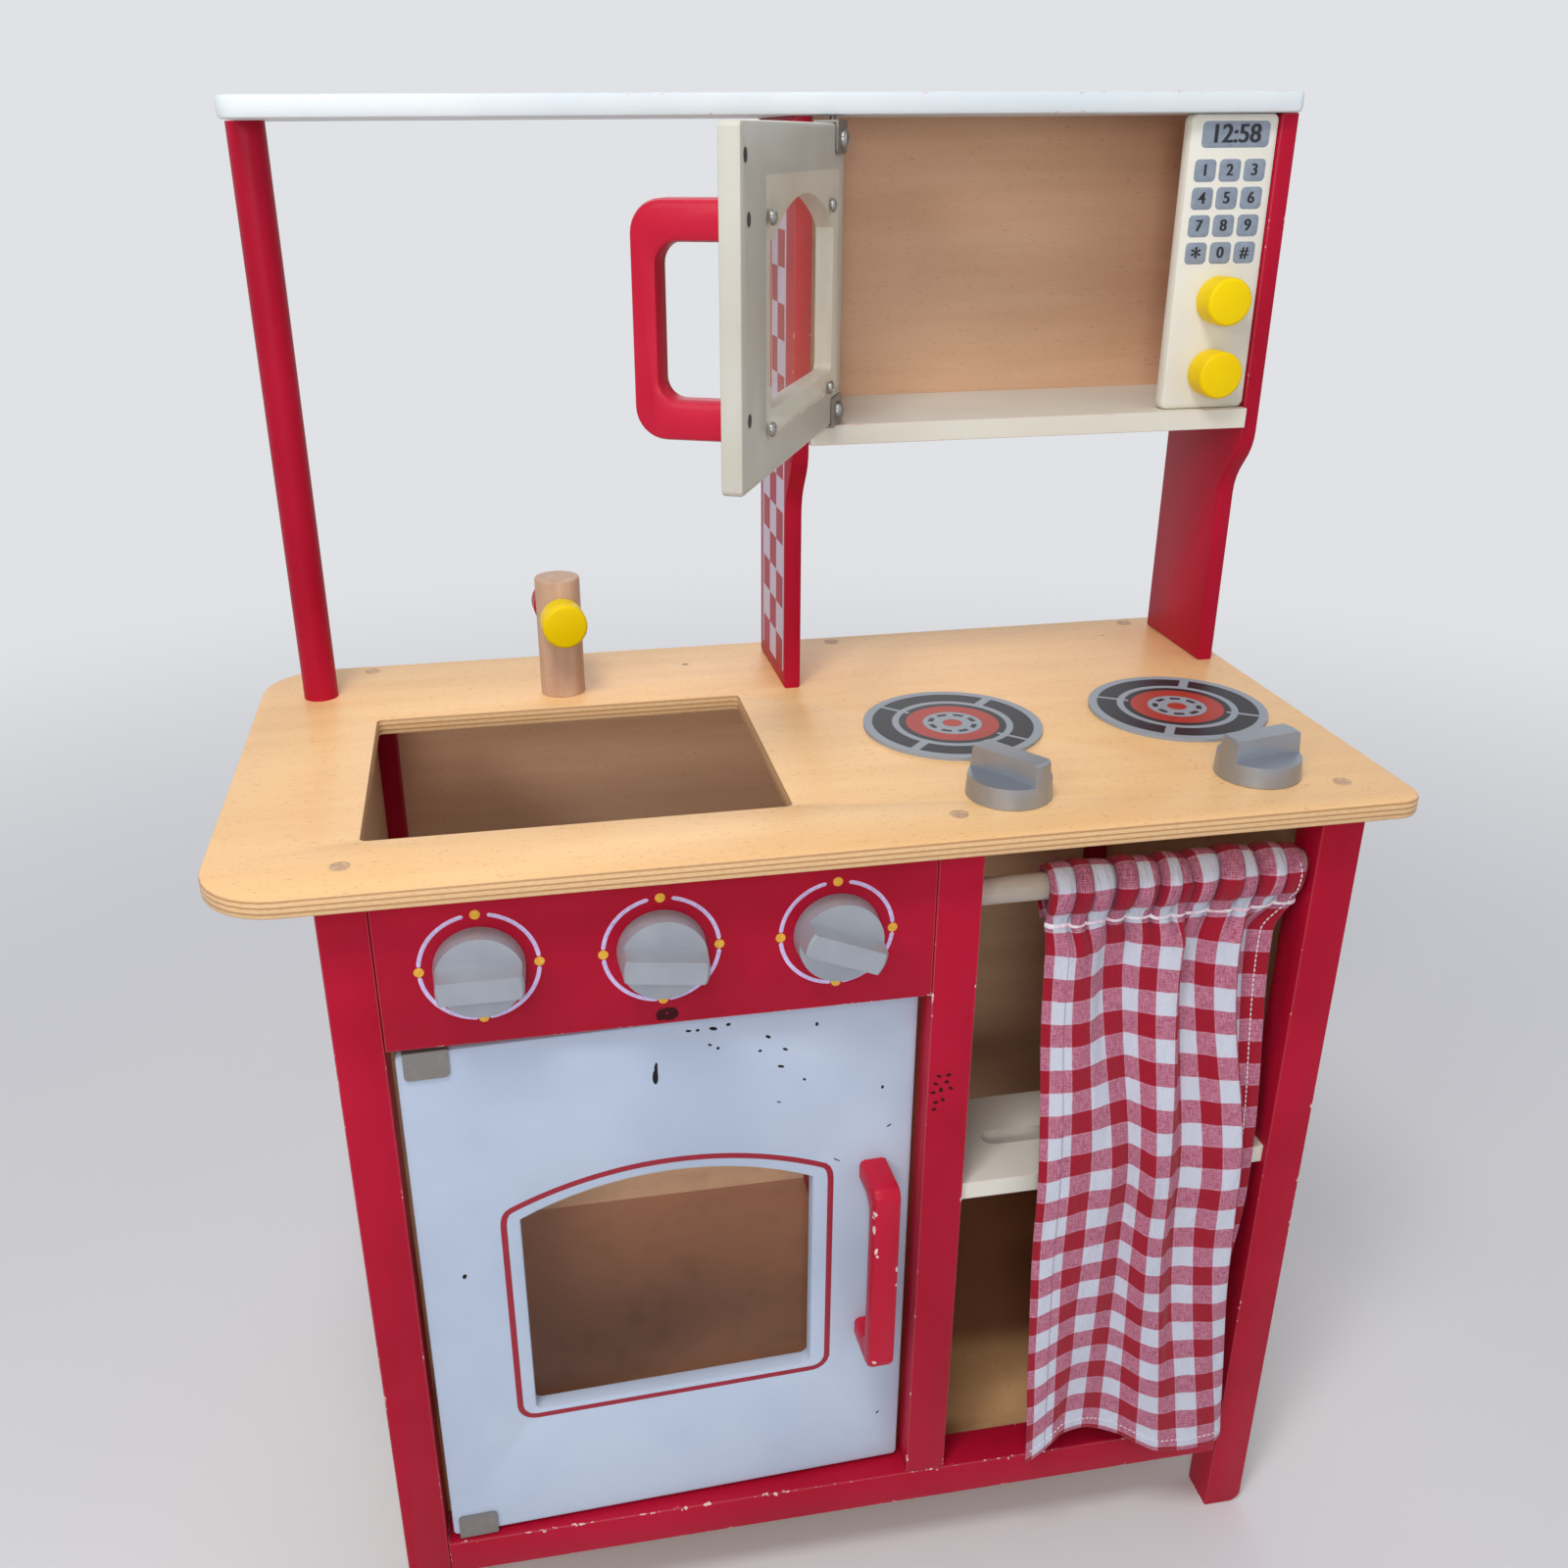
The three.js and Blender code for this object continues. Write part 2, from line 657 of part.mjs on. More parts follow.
// A door whose pivot is the group's origin: the board, its window, pane, handle and clips
const door = (prefix, size, place, turned, parts) => {
  const hung = new THREE.Group();
  hung.position.set(place.x, place.y, 0);
  hung.rotation.z = turned;
  group.add(hung);
  const freeEdge = size.width - size.inset;
  const outline = rectangle(-size.inset, size.bottom, freeEdge, size.top, evenCorners(doorCorner));
  const { left, right, bottom, top, rise } = parts.windowMargins;
  const windowX = left - size.inset;
  const windowZ = size.bottom + bottom;
  const windowWidth = size.width - left - right;
  const windowSide = size.top - top - rise - windowZ;
  outline.holes.push(archedOutline(windowX, windowZ, windowWidth, windowSide, rise, windowRadius));
  const board = facing(outline, size.thickness, doorEdge).translate(0, -size.thickness / 2, 0);
  add(`${prefix}_door`, parts.holes ? cut(board, ...parts.holes) : board, whitePaint, hung);
  const pane = rectangle(
    windowX - parts.lap, windowZ - parts.lap,
    windowX + windowWidth + parts.lap, windowZ + windowSide + rise + parts.lap
  );
  const paneY = size.thickness / 2 + clearance;
  add(`${prefix}_window`, facing(pane, paneThickness).translate(0, paneY, 0), clearPlastic, hung);
  const grip = handle(...parts.handle);
  grip.translate(parts.handleX, -size.thickness / 2 - clearance, size.bottom + parts.handleBottom);
  add(`${prefix}_handle`, grip, redPaint, hung);
  const upper = clip(size.thickness, parts.topGap + pinSocketDepth - clearance, parts.clipPastPivot);
  add(`${prefix}_hinge_top`, upper.translate(0, 0, size.top), steel, hung);
  const lower = clip(size.thickness, parts.bottomGap + pinSocketDepth - clearance, parts.clipPastPivot);
  add(`${prefix}_hinge_bottom`, lower.rotateX(Math.PI).translate(0, 0, size.bottom), steel, hung);
};

const ovenDoorWidth = ovenOpeningWidth - ovenDoorSideGap - ovenDoorFreeGap;
door(
  "oven",
  {
    inset: ovenPivotInset,
    width: ovenDoorWidth,
    thickness: ovenDoorThickness,
    bottom: railTop + ovenDoorBottomGap,
    top: panelBottom - ovenDoorTopGap,
  },
  { x: ovenPivotX, y: ovenPivotY },
  ovenDoorAjar,
  {
    windowMargins: ovenWindowMargins,
    lap: ovenPaneLap,
    handle: [ovenHandleHeight, ovenHandleReach, ovenHandleFoot, ovenHandleOuterRadius, ovenHandleInnerRadius],
    handleX: ovenDoorWidth - ovenPivotInset - ovenHandleEdgeInset - handleThickness / 2,
    handleBottom: ovenHandleBottom,
    clipPastPivot: ovenClipPastPivot,
    topGap: ovenDoorTopGap,
    bottomGap: ovenDoorBottomGap,
  }
);

// Microwave door, with two sunk screw holes behind its handle and one for a catch
const microwavePivotX = uprightMiddleRight + microwaveDoorSideGap + microwavePivotInset;
const microwavePivotY = uprightFrontHigh + microwavePivotSetback;
const keypadLeft = uprightRightInner - keypadWidth;
const microwaveDoorWidth = keypadLeft - microwaveDoorFreeGap - uprightMiddleRight - microwaveDoorSideGap;
const microwaveDoorBottom = microwaveFloorTop + microwaveDoorBottomGap;
const microwaveDoorTop = upperTop - microwaveDoorTopGap;
const microwaveDoorEnd = microwaveDoorWidth - microwavePivotInset;
const microwaveDoorHeight = microwaveDoorTop - microwaveDoorBottom;
const microwaveHandleHeight = microwaveDoorHeight - microwaveHandleBottom - microwaveHandleTop;
const microwaveHandleX = microwaveDoorEnd - microwaveHandleEdgeInset - handleThickness / 2;
const microwaveHandleZ = microwaveDoorBottom + microwaveHandleBottom;
const sunkHole = (x, z) =>
  bar(screwHoleRadius, -microwaveDoorThickness, 0)
    .rotateX(-Math.PI / 2)
    .translate(x, microwaveDoorThickness + microwaveDoorThickness / 2 - screwHoleRadius, z);
door(
  "microwave",
  {
    inset: microwavePivotInset,
    width: microwaveDoorWidth,
    thickness: microwaveDoorThickness,
    bottom: microwaveDoorBottom,
    top: microwaveDoorTop,
  },
  { x: microwavePivotX, y: microwavePivotY },
  -microwaveDoorOpen,
  {
    windowMargins: microwaveWindowMargins,
    lap: microwavePaneLap,
    handle: [
      microwaveHandleHeight, microwaveHandleReach, microwaveHandleFoot,
      microwaveHandleOuterRadius, microwaveHandleInnerRadius,
    ],
    handleX: microwaveHandleX,
    handleBottom: microwaveHandleBottom,
    clipPastPivot: microwavePivotInset - doorEdge,
    topGap: microwaveDoorTopGap,
    bottomGap: microwaveDoorBottomGap,
    holes: [
      sunkHole(microwaveHandleX, microwaveHandleZ + microwaveHandleFoot / 2),
      sunkHole(microwaveHandleX, microwaveHandleZ + microwaveHandleHeight - microwaveHandleFoot / 2),
      sunkHole(microwaveDoorEnd - catchHoleInset, microwaveDoorTop - catchHoleDrop),
    ],
  }
);

// Knobs and the shafts that carry them through a panel whose outer face is at Z 0
const silverKnob = () => {
  const body = turned(
    [
      [0, 0],
      [knobRadius, 0],
      [knobTopRadius, knobHeight - knobEdge],
      [knobTopRadius - knobEdge, knobHeight],
      [0, knobHeight],
    ],
    discSteps
  );
  const shoulder = turned(
    [
      [0, knobShoulderHeight],
      [gripBarSpread / 2, knobShoulderHeight],
      [knobRadius, knobShoulderRim],
      [knobRadius + overrun, knobShoulderRim],
      [knobRadius + overrun, knobHeight + overrun],
      [0, knobHeight + overrun],
    ],
    discSteps
  );
  const across = new THREE.Shape();
  across.moveTo(-gripBarSpread / 2, knobShoulderRim - overrun);
  across.lineTo(gripBarSpread / 2, knobShoulderRim - overrun);
  across.lineTo(gripBarWidth / 2, knobHeight + 2 * overrun);
  across.lineTo(-gripBarWidth / 2, knobHeight + 2 * overrun);
  const length = 2 * (knobRadius + 2 * overrun);
  const grip = sideways(across, length).translate(-length / 2, 0, 0);
  const cheeks = solid(shoulder).subtract(solid(grip));
  const bore = bar(shaftRadius + clearance, -overrun, shaftInKnob);
  return shapeOf(solid(body).subtract(cheeks).subtract(solid(bore)));
};

const pegKnob = (boreRadius, boreDepth) => {
  const { radius, height, edge } = peg;
  const body = turned([
    [0, 0],
    [radius - edge / 2, 0],
    [radius, edge / 2],
    ...roundedRim(radius, height, edge),
    [0, height],
  ]);
  return cut(body, bar(boreRadius, -overrun, boreDepth));
};

const shaft = (panelThickness) =>
  turned(
    [
      [0, -panelThickness - clearance - shaftHeadHeight],
      [shaftHeadRadius, -panelThickness - clearance - shaftHeadHeight],
      [shaftHeadRadius, -panelThickness - clearance],
      [shaftRadius, -panelThickness - clearance],
      [shaftRadius, shaftInKnob - clearance],
      [0, shaftInKnob - clearance],
    ],
    smallRoundSteps
  );

const fitKnob = (name, knob, material, panelThickness, place) => {
  const seat = new THREE.Group();
  seat.position.copy(place.at);
  seat.rotation.set(place.tilt, 0, 0);
  const turnedPart = new THREE.Group();
  turnedPart.rotation.z = place.turn;
  seat.add(turnedPart);
  group.add(seat);
  add(name, knob.translate(0, 0, clearance), material, turnedPart);
  add(`${name}_shaft`, shaft(panelThickness), steel, turnedPart);
};

const sideNames = ["left", "middle", "right"];
panelKnobXs.forEach((x, i) => {
  const place = { at: new THREE.Vector3(x, 0, panelKnobZ), tilt: Math.PI / 2, turn: knobTurns[i] };
  fitKnob(`oven_knob_${sideNames[i]}`, silverKnob(), silverPlastic, controlPanelThickness, place);
});

hobXs.forEach((x, i) => {
  const side = i === 0 ? "left" : "right";
  const disc = bar(hobRadius, worktopTop, worktopTop + hobThickness, discSteps).translate(x, hobY, 0);
  add(`hob_disc_${side}`, disc, hobPrint);
  const place = { at: new THREE.Vector3(x, hobKnobY, worktopTop), tilt: 0, turn: hobKnobTurns[i] };
  fitKnob(`hob_knob_${side}`, silverKnob(), silverPlastic, worktopThickness, place);
});

// Tap: a post that turns on its tenon, with a cross axle and a peg knob at each end
const tap = new THREE.Group();
tap.position.set(tapX, tapY, worktopTop);
tap.rotation.z = tapTurn;
group.add(tap);
const tapBody = turned([
  [0, -tapTenonLength],
  [tapTenonRadius, -tapTenonLength],
  [tapTenonRadius, clearance],
  [tapRadius, clearance],
  ...roundedRim(tapRadius, tapHeight, tapEdge),
  [0, tapHeight],
]);
const axleAt = (geometry) => geometry.rotateX(Math.PI / 2).translate(0, 0, tapAxleHeight);
const axleBore = axleAt(bar(tapAxleRadius + clearance, -tapRadius - overrun, tapRadius + overrun));
add("tap_post", cut(tapBody, axleBore), naturalWood, tap);
const axleReach = tapRadius + peg.height / 2;
add("tap_axle", axleAt(bar(tapAxleRadius, -axleReach, axleReach)), naturalWood, tap);
const tapKnob = (name, material, facingTurn) => {
  const knob = pegKnob(tapAxleRadius + clearance, peg.height / 2 + clearance);
  const placed = knob.translate(0, 0, tapRadius + clearance).rotateX(Math.PI / 2).rotateZ(facingTurn);
  add(name, placed.translate(0, 0, tapAxleHeight), material, tap);
};
tapKnob("tap_knob_yellow", yellowPaint, 0);
tapKnob("tap_knob_red", redPaint, Math.PI);

// Round post on the left
const post = bar(postRadius, worktopTop, upperTop, roundSteps);
add("post_left", post.translate(worktopLeft + postLeft, worktopFront + postFront, 0), redPaint);

// Uprights: the front edge sweeps forward under the microwave
const uprightOutline = () => {
  const low = worktopTop;
  const outline = new THREE.Shape();
  const frontMiddle = (uprightFrontLow + uprightFrontHigh) / 2;
  const sweepMiddle = low + (sweepBottom + sweepTop) / 2;
  outline.moveTo(uprightFrontLow, low);
  outline.lineTo(uprightBack, low);
  outline.lineTo(uprightBack, upperTop);
  outline.lineTo(uprightFrontHigh, upperTop);
  outline.lineTo(uprightFrontHigh, low + sweepTop);
  outline.quadraticCurveTo(
    uprightFrontHigh, sweepMiddle + (sweepTop - sweepBottom) / 4, frontMiddle, sweepMiddle
  );
  outline.quadraticCurveTo(
    uprightFrontLow, sweepMiddle - (sweepTop - sweepBottom) / 4, uprightFrontLow, low + sweepBottom
  );
  outline.lineTo(uprightFrontLow, low);
  return outline;
};
const uprightBoard = (name, x0) =>
  add(name, sideways(uprightOutline(), uprightThickness, boardEdge).translate(x0, 0, 0), redPaint);
uprightBoard("upright_middle", uprightMiddleLeft);
uprightBoard("upright_right", uprightRightInner);

// Top board, drilled for the microwave door's upper pin
const topFront = worktopFront + topBoardFront;
const topOutline = rectangle(
  worktopLeft + topBoardLeft, topFront, worktopRight - topBoardRight, topFront + topBoardDepth,
  [topBoardRadius, topBoardRightRadius, topBoardRightRadius, topBoardRadius]
);
add(
  "top_board",
  cut(
    slab(topOutline, topBoardThickness, topBoardEdge).translate(0, 0, upperTop),
    pinSocket(microwavePivotX, microwavePivotY, upperTop - overrun, upperTop + pinSocketDepth)
  ),
  whitePaint
);

// Microwave floor and back
const microwaveFloorFront = uprightFrontHigh - microwaveFloorProud;
const microwaveFloor = block(
  uprightMiddleRight, microwaveFloorFront, microwaveFloorTop - microwaveFloorThickness,
  uprightRightInner, uprightBack, microwaveFloorTop
);
add(
  "microwave_floor",
  cut(
    microwaveFloor,
    pinSocket(microwavePivotX, microwavePivotY, microwaveFloorTop - pinSocketDepth, microwaveFloorTop + overrun)
  ),
  whitePaint
);
const microwaveBack = block(
  uprightMiddleLeft, uprightBack, microwaveFloorTop - microwaveFloorThickness - microwaveBackDrop,
  uprightRightOuter, uprightBack + microwaveBackThickness, upperTop
);
add("microwave_back", microwaveBack, naturalWood);

// Keypad panel with two peg knobs
const keypadFront = uprightFrontHigh + keypadSetback;
const keypadKnobX = keypadLeft + keypadKnobInset;
const keypadBores = keypadKnobHeights.map((height) => {
  const bore = shaftBore(keypadThickness).rotateX(-Math.PI / 2);
  return bore.translate(keypadKnobX, keypadFront, microwaveFloorTop + height);
});
const keypadOutline = rectangle(
  keypadLeft, microwaveFloorTop, uprightRightInner, upperTop, evenCorners(keypadCorner)
);
const keypadBoard = facing(keypadOutline, keypadThickness, keypadEdge);
add("keypad_panel", cut(keypadBoard.translate(0, keypadFront, 0), ...keypadBores), whitePaint);
keypadKnobHeights.forEach((height, i) => {
  const place = {
    at: new THREE.Vector3(keypadKnobX, keypadFront, microwaveFloorTop + height),
    tilt: Math.PI / 2,
    turn: 0,
  };
  const knob = pegKnob(shaftRadius + clearance, shaftInKnob);
  fitKnob(`microwave_knob_${i === 0 ? "lower" : "upper"}`, knob, yellowPaint, keypadThickness, place);
});

// The origin goes to the middle of the bounding box on the floor
const frontReach = clearance + knobHeight;
group.position.y = (frontReach - worktopBack) / 2;

export default group;
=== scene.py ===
"""Wooden toy kitchen: camera, light, finishes, and the pieces that the frame leaves to this script."""
import bpy
import bmesh
import math
import numpy as np
from mathutils import Matrix, Vector


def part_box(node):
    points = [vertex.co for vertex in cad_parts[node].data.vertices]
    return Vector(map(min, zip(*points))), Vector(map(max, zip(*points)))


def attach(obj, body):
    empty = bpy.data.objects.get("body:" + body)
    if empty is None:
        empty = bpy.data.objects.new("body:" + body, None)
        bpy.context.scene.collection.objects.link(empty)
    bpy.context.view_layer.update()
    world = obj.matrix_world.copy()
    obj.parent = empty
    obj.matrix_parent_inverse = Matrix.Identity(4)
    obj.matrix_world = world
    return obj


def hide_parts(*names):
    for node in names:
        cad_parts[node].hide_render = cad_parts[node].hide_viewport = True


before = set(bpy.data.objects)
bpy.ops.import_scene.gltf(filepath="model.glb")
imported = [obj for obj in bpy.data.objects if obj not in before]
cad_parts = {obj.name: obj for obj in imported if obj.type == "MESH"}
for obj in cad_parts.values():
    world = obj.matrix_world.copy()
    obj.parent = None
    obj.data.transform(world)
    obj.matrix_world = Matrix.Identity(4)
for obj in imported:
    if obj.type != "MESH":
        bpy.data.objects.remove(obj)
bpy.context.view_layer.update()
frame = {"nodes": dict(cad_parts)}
nodes = frame["nodes"]

# Places are written in millimetres from the front plane of the legs, as the source has them
MM = 0.001
LEG_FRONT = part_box("leg_front_left")[0].y
WORKTOP, WORKTOP_UNDER = 510, 500
MICROWAVE_BACK_LOW = 646


def place(x, y, z):
    """A point in the row frame, in metres, from millimetres behind the legs' front plane."""
    return Vector((x * MM, LEG_FRONT + y * MM, z * MM))


def linked(name, data):
    """An object made from its data and put in the scene."""
    made = bpy.data.objects.new(name, data)
    bpy.context.collection.objects.link(made)
    return made


def axes(right, up, out):
    """The turn that has these three as its X, Y and Z directions."""
    return Matrix((right, up, out)).transposed().to_4x4()


# Camera at the photograph's viewing angle: its place, its turns in degrees, and its focal length and the
# middle of its view in pixels of the whole picture
CAMERA_PLACE, CAMERA_TURNS = (-154.02, -600.29, 815.05), (9.7409, -23.9194, -0.506)
PICTURE, FOCAL, MIDDLE_ACROSS, MIDDLE_DOWN = 1600, 1463.55, 752.84, 793.09
SENSOR = 36.0


def hold_camera():
    yaw, pitch, roll = (math.radians(turn) for turn in CAMERA_TURNS)
    ahead = Vector((math.sin(yaw) * math.cos(pitch), math.cos(yaw) * math.cos(pitch), math.sin(pitch)))
    level = Vector((math.cos(yaw), -math.sin(yaw), 0.0))
    above = level.cross(ahead)
    right = level * math.cos(roll) + above * math.sin(roll)
    up = above * math.cos(roll) - level * math.sin(roll)
    data = bpy.data.cameras.new("camera")
    data.sensor_width = SENSOR
    data.sensor_fit = "HORIZONTAL"
    data.lens = SENSOR * FOCAL / PICTURE
    data.shift_x = (PICTURE / 2 - MIDDLE_ACROSS) / PICTURE
    data.shift_y = (MIDDLE_DOWN - PICTURE / 2) / PICTURE
    data.clip_start = 0.01
    camera = linked("camera", data)
    camera.matrix_world = Matrix.Translation(place(*CAMERA_PLACE)) @ axes(right, up, -ahead)
    bpy.context.scene.camera = camera


hold_camera()


# Finishes: every pattern is written in millimetres on Object coordinates or on the cloth's own map
def tint(red, green, blue):
    """A linear colour from the 0 to 255 values that it shows on screen."""
    shown = np.array([red, green, blue]) / 255
    linear = np.where(shown <= 0.04045, shown / 12.92, ((shown + 0.055) / 1.055) ** 2.4)
    return (*[float(c) for c in linear], 1.0)


class Value:
    """What a node gives out. Arithmetic on it adds the nodes that do it."""

    def __init__(self, nodes, socket):
        self.nodes, self.socket = nodes, socket

    def __add__(self, other):
        return self.nodes.math("ADD", self, other)

    def __sub__(self, other):
        return self.nodes.math("SUBTRACT", self, other)

    def __mul__(self, other):
        return self.nodes.math("MULTIPLY", self, other)

    def __truediv__(self, other):
        return self.nodes.math("DIVIDE", self, other)

    def __abs__(self):
        return self.nodes.math("ABSOLUTE", self)

    def step(self, low, high):
        """0 at low, 1 at high, smooth between."""
        return self.nodes.node("ShaderNodeMapRange", {"Value": self, "From Min": low, "From Max": high},
                               interpolation_type="SMOOTHSTEP")

    def band(self, low, high, soft=0.008):
        """1 between two values and 0 outside them."""
        return self.step(low - soft, low + soft) * self.step(high + soft, high - soft)

    def lay(self, colour, share):
        """This colour with another laid over it by a share."""
        return self.nodes.blend(share, self, colour)


class Nodes:
    """A node tree with short calls for the nodes that are used below."""

    def __init__(self, tree):
        self.tree = tree

    def put(self, socket, value):
        if isinstance(value, Value):
            self.tree.links.new(value.socket, socket)
        else:
            socket.default_value = value

    def make(self, kind, inputs=(), **settings):
        made = self.tree.nodes.new(kind)
        for name, value in settings.items():
            setattr(made, name, value)
        for socket, value in dict(inputs).items():
            self.put(made.inputs[socket], value)
        return made

    def node(self, kind, inputs=(), out=0, **settings):
        return Value(self, self.make(kind, inputs, **settings).outputs[out])

    def math(self, operation, a, b=0.0):
        return self.node("ShaderNodeMath", {0: a, 1: b}, operation=operation)

    def fold(self, operation, first, *others):
        """One operation carried through several values."""
        for other in others:
            first = self.math(operation, first, other)
        return first

    def vector(self, operation, a, b=(0, 0, 0), out=0):
        return self.node("ShaderNodeVectorMath", {0: a, 1: b}, out, operation=operation)

    def split(self, vector):
        return [Value(self, socket) for socket in self.make("ShaderNodeSeparateXYZ", {0: vector}).outputs]

    def blend(self, share, a, b):
        return self.node("ShaderNodeMix", {0: share, 6: a, 7: b}, 2, data_type="RGBA", blend_type="MIX")

    def seen(self):
        """1 for what the camera sees, also by way of gloss or glass, and 0 for what only gives light."""
        path = self.make("ShaderNodeLightPath").outputs
        return self.fold("MAXIMUM", *[Value(self, path[f"Is {way} Ray"]) for way in (
            "Camera", "Glossy", "Transmission")])


class Finish(Nodes):
    """One node material. It starts from a roughness and from other values for the shader's own sockets."""

    def __init__(self, name, roughness=0.5, **sockets):
        self.material = bpy.data.materials.new(name)
        self.material.use_nodes = True
        super().__init__(self.material.node_tree)
        self.shader = self.tree.nodes["Principled BSDF"]
        self.set("Roughness", roughness)
        for socket, value in sockets.items():
            self.set(socket.replace("_", " "), value)
        coordinates = self.tree.nodes.new("ShaderNodeTexCoord").outputs
        self.object, self.cloth = Value(self, coordinates["Object"]), Value(self, coordinates["UV"])
        self.where = self.about((0, 0, 0))

    def set(self, socket, value):
        self.put(self.shader.inputs[socket], value)

    def about(self, centre, turn=(0, 0, 0), scale=(1, 1, 1), source=None):
        """Millimetres from a centre in the row frame, turned back and shrunk by scale."""
        return self.node("ShaderNodeMapping", {
            "Vector": source or self.object, "Location": tuple(centre), "Rotation": turn,
            "Scale": tuple(MM * s for s in scale)}, vector_type="TEXTURE")

    def noise(self, size, detail=2.0, rough=0.5, along=None, source=None, out=0):
        """Soft noise whose lumps are about size millimetres across, and along times longer on X, Y and Z."""
        vector = source or self.where
        if along:
            vector = self.vector("DIVIDE", vector, along)
        return self.node("ShaderNodeTexNoise", {
            "Vector": vector, "Scale": 1 / size, "Detail": detail, "Roughness": rough}, out)

    def nearest(self, spots, ragged):
        """How far out of the nearest of some flat ovals a point is, 1 being on its rim. A spot is a centre,
        its three half sizes and its turn about Y in degrees. The rims wander by a noise, ragged wide."""
        wander = self.vector("SUBTRACT", self.noise(3.0, 3.0, out=1), (0.5, 0.5, 0.5))
        where = self.vector("ADD", self.object, self.vector("MULTIPLY", wander, (ragged * MM,) * 3))
        return self.fold("MINIMUM", *[
            self.vector("LENGTH", self.about(place(*centre), (0, math.radians(turn), 0), sizes, where), out=1)
            for centre, sizes, turn in spots])

    def give_over(self, share, other):
        """Hands the surface over to another shader by a share."""
        mixed = self.node("ShaderNodeMixShader", {0: share, 1: Value(self, self.shader.outputs[0]), 2: other})
        self.put(self.tree.nodes["Material Output"].inputs["Surface"], mixed)

    def done(self, tone, gloss=None, height=None):
        """The material with its colour, its roughness and the height of its relief in millimetres."""
        self.set("Base Color", tone)
        if gloss:
            self.set("Roughness", gloss)
        if height:
            bump = self.node("ShaderNodeBump", {"Height": height, "Distance": MM, "Strength": 1.0})
            self.set("Normal", bump)
        return self.material


RED, RED_SHADE = tint(180, 17, 50), tint(165, 11, 42)
HANDLE_RED, HANDLE_RED_SHADE = tint(196, 34, 62), tint(182, 22, 50)
BARE_WOOD = tint(224, 184, 168)
PRIMER = tint(232, 200, 202)
CHIP_REACH = 3.4
ALONG_X, UPWARDS = (1, 0, 0), (0, 0, 1)


def edge_distance(finish, corners):
    """Millimetres to the nearest edge of a square-cut board: the middle one of the three distances to its
    nearer end on each axis, because the least one is 0 all over a face."""
    low, high = (tuple(c / MM for c in corner) for corner in corners)
    ends = finish.split(finish.vector("MINIMUM", finish.vector("SUBTRACT", finish.where, low),
                                      finish.vector("SUBTRACT", high, finish.where)))
    total, least, most = (finish.fold(operation, *ends) for operation in ("ADD", "MINIMUM", "MAXIMUM"))
    return total - least - most


def painted(name, colour, shade, corners=None, wear=1.0, roughness=0.42, spots=(), spot_colour=None,
            ragged=1.2, whole=0.5):
    """Brushed satin paint on wood: a slow change of tone, fine orange peel, chips along the edges of a
    square-cut board, and single spots where the paint is stained or lost. The lower whole is, the more of the
    edges is chipped."""
    finish = Finish(name, roughness, Specular_IOR_Level=0.14)
    fine = finish.noise(1.6)
    tone = finish.blend(finish.noise(90, 3.0).step(0.3, 0.7), shade, colour)
    tone = tone.lay(PRIMER, finish.noise(2.4, 4.0, 0.7).step(0.66, 0.78) * 0.06)
    gloss = fine * 0.12 + (roughness - 0.06)
    height = fine * 0.05 + finish.noise(1.2, along=(3, 3, 40)) * 0.03
    if corners:
        away = edge_distance(finish, corners)
        bite = finish.noise(3.2, 3.0, 0.6).step(0.46, 0.8)
        reach = finish.noise(26).step(whole, whole + 0.26) * bite * (CHIP_REACH * wear)
        chip = (away - reach).step(0.25, 0.02)
        tone = tone.lay(PRIMER, away.step(1.2, 0.3) * (0.1 * wear))
        tone = tone.lay(finish.blend(bite * 0.4, PRIMER, BARE_WOOD), chip)
        gloss, height = chip * 0.3 + gloss, chip * -0.16 + height
    if spots:
        mark = finish.nearest(spots, ragged).step(1.08, 0.9)
        tone = tone.lay(spot_colour, mark)
        gloss, height = mark * 0.25 + gloss, mark * -0.08 + height
    return finish.done(tone, gloss, height)


def wooden(name, light, dark, along, fleck, ring=9.0, dirt=0.0, painted_shade=None):
    """Sanded beech: long bands of tone along one axis, fine pores, and short dark flecks. A painted shade is a
    darker colour laid on deeper in, for the shadow there, with the depth at which it begins and the one where
    it is full."""
    finish = Finish(name, 0.55, Coat_Weight=0.08, Coat_Roughness=0.4)
    bands, fibres, pores = (tuple(1 + longer * a for a in along) for longer in (9, 34, 4))
    fibre = finish.noise(0.55, 3.0, 0.6, fibres)
    tone = finish.blend(finish.noise(ring, 3.0, 0.6, bands).step(0.3, 0.72), light, dark)
    tone = tone.lay(dark, fibre.step(0.45, 0.75) * 0.35)
    flecks = finish.noise(0.75, 1.0, along=pores).step(0.68, 0.76) * 0.55
    tone = tone.lay(fleck, flecks)
    if dirt:
        tone = tone.lay(tint(104, 66, 40), finish.noise(38, 4.0, 0.62).step(0.5, 0.75) * dirt)
    # Painted shade: a darker colour comes in with depth, in place of the shadow at the back
    if painted_shade:
        colour, front, back = painted_shade
        depth = finish.split(finish.where)[1]
        tone = tone.lay(colour, depth.step(front + LEG_FRONT / MM, back + LEG_FRONT / MM))
    return finish.done(tone, fibre * 0.2 + 0.45, fibre * 0.05 - flecks * 0.06)


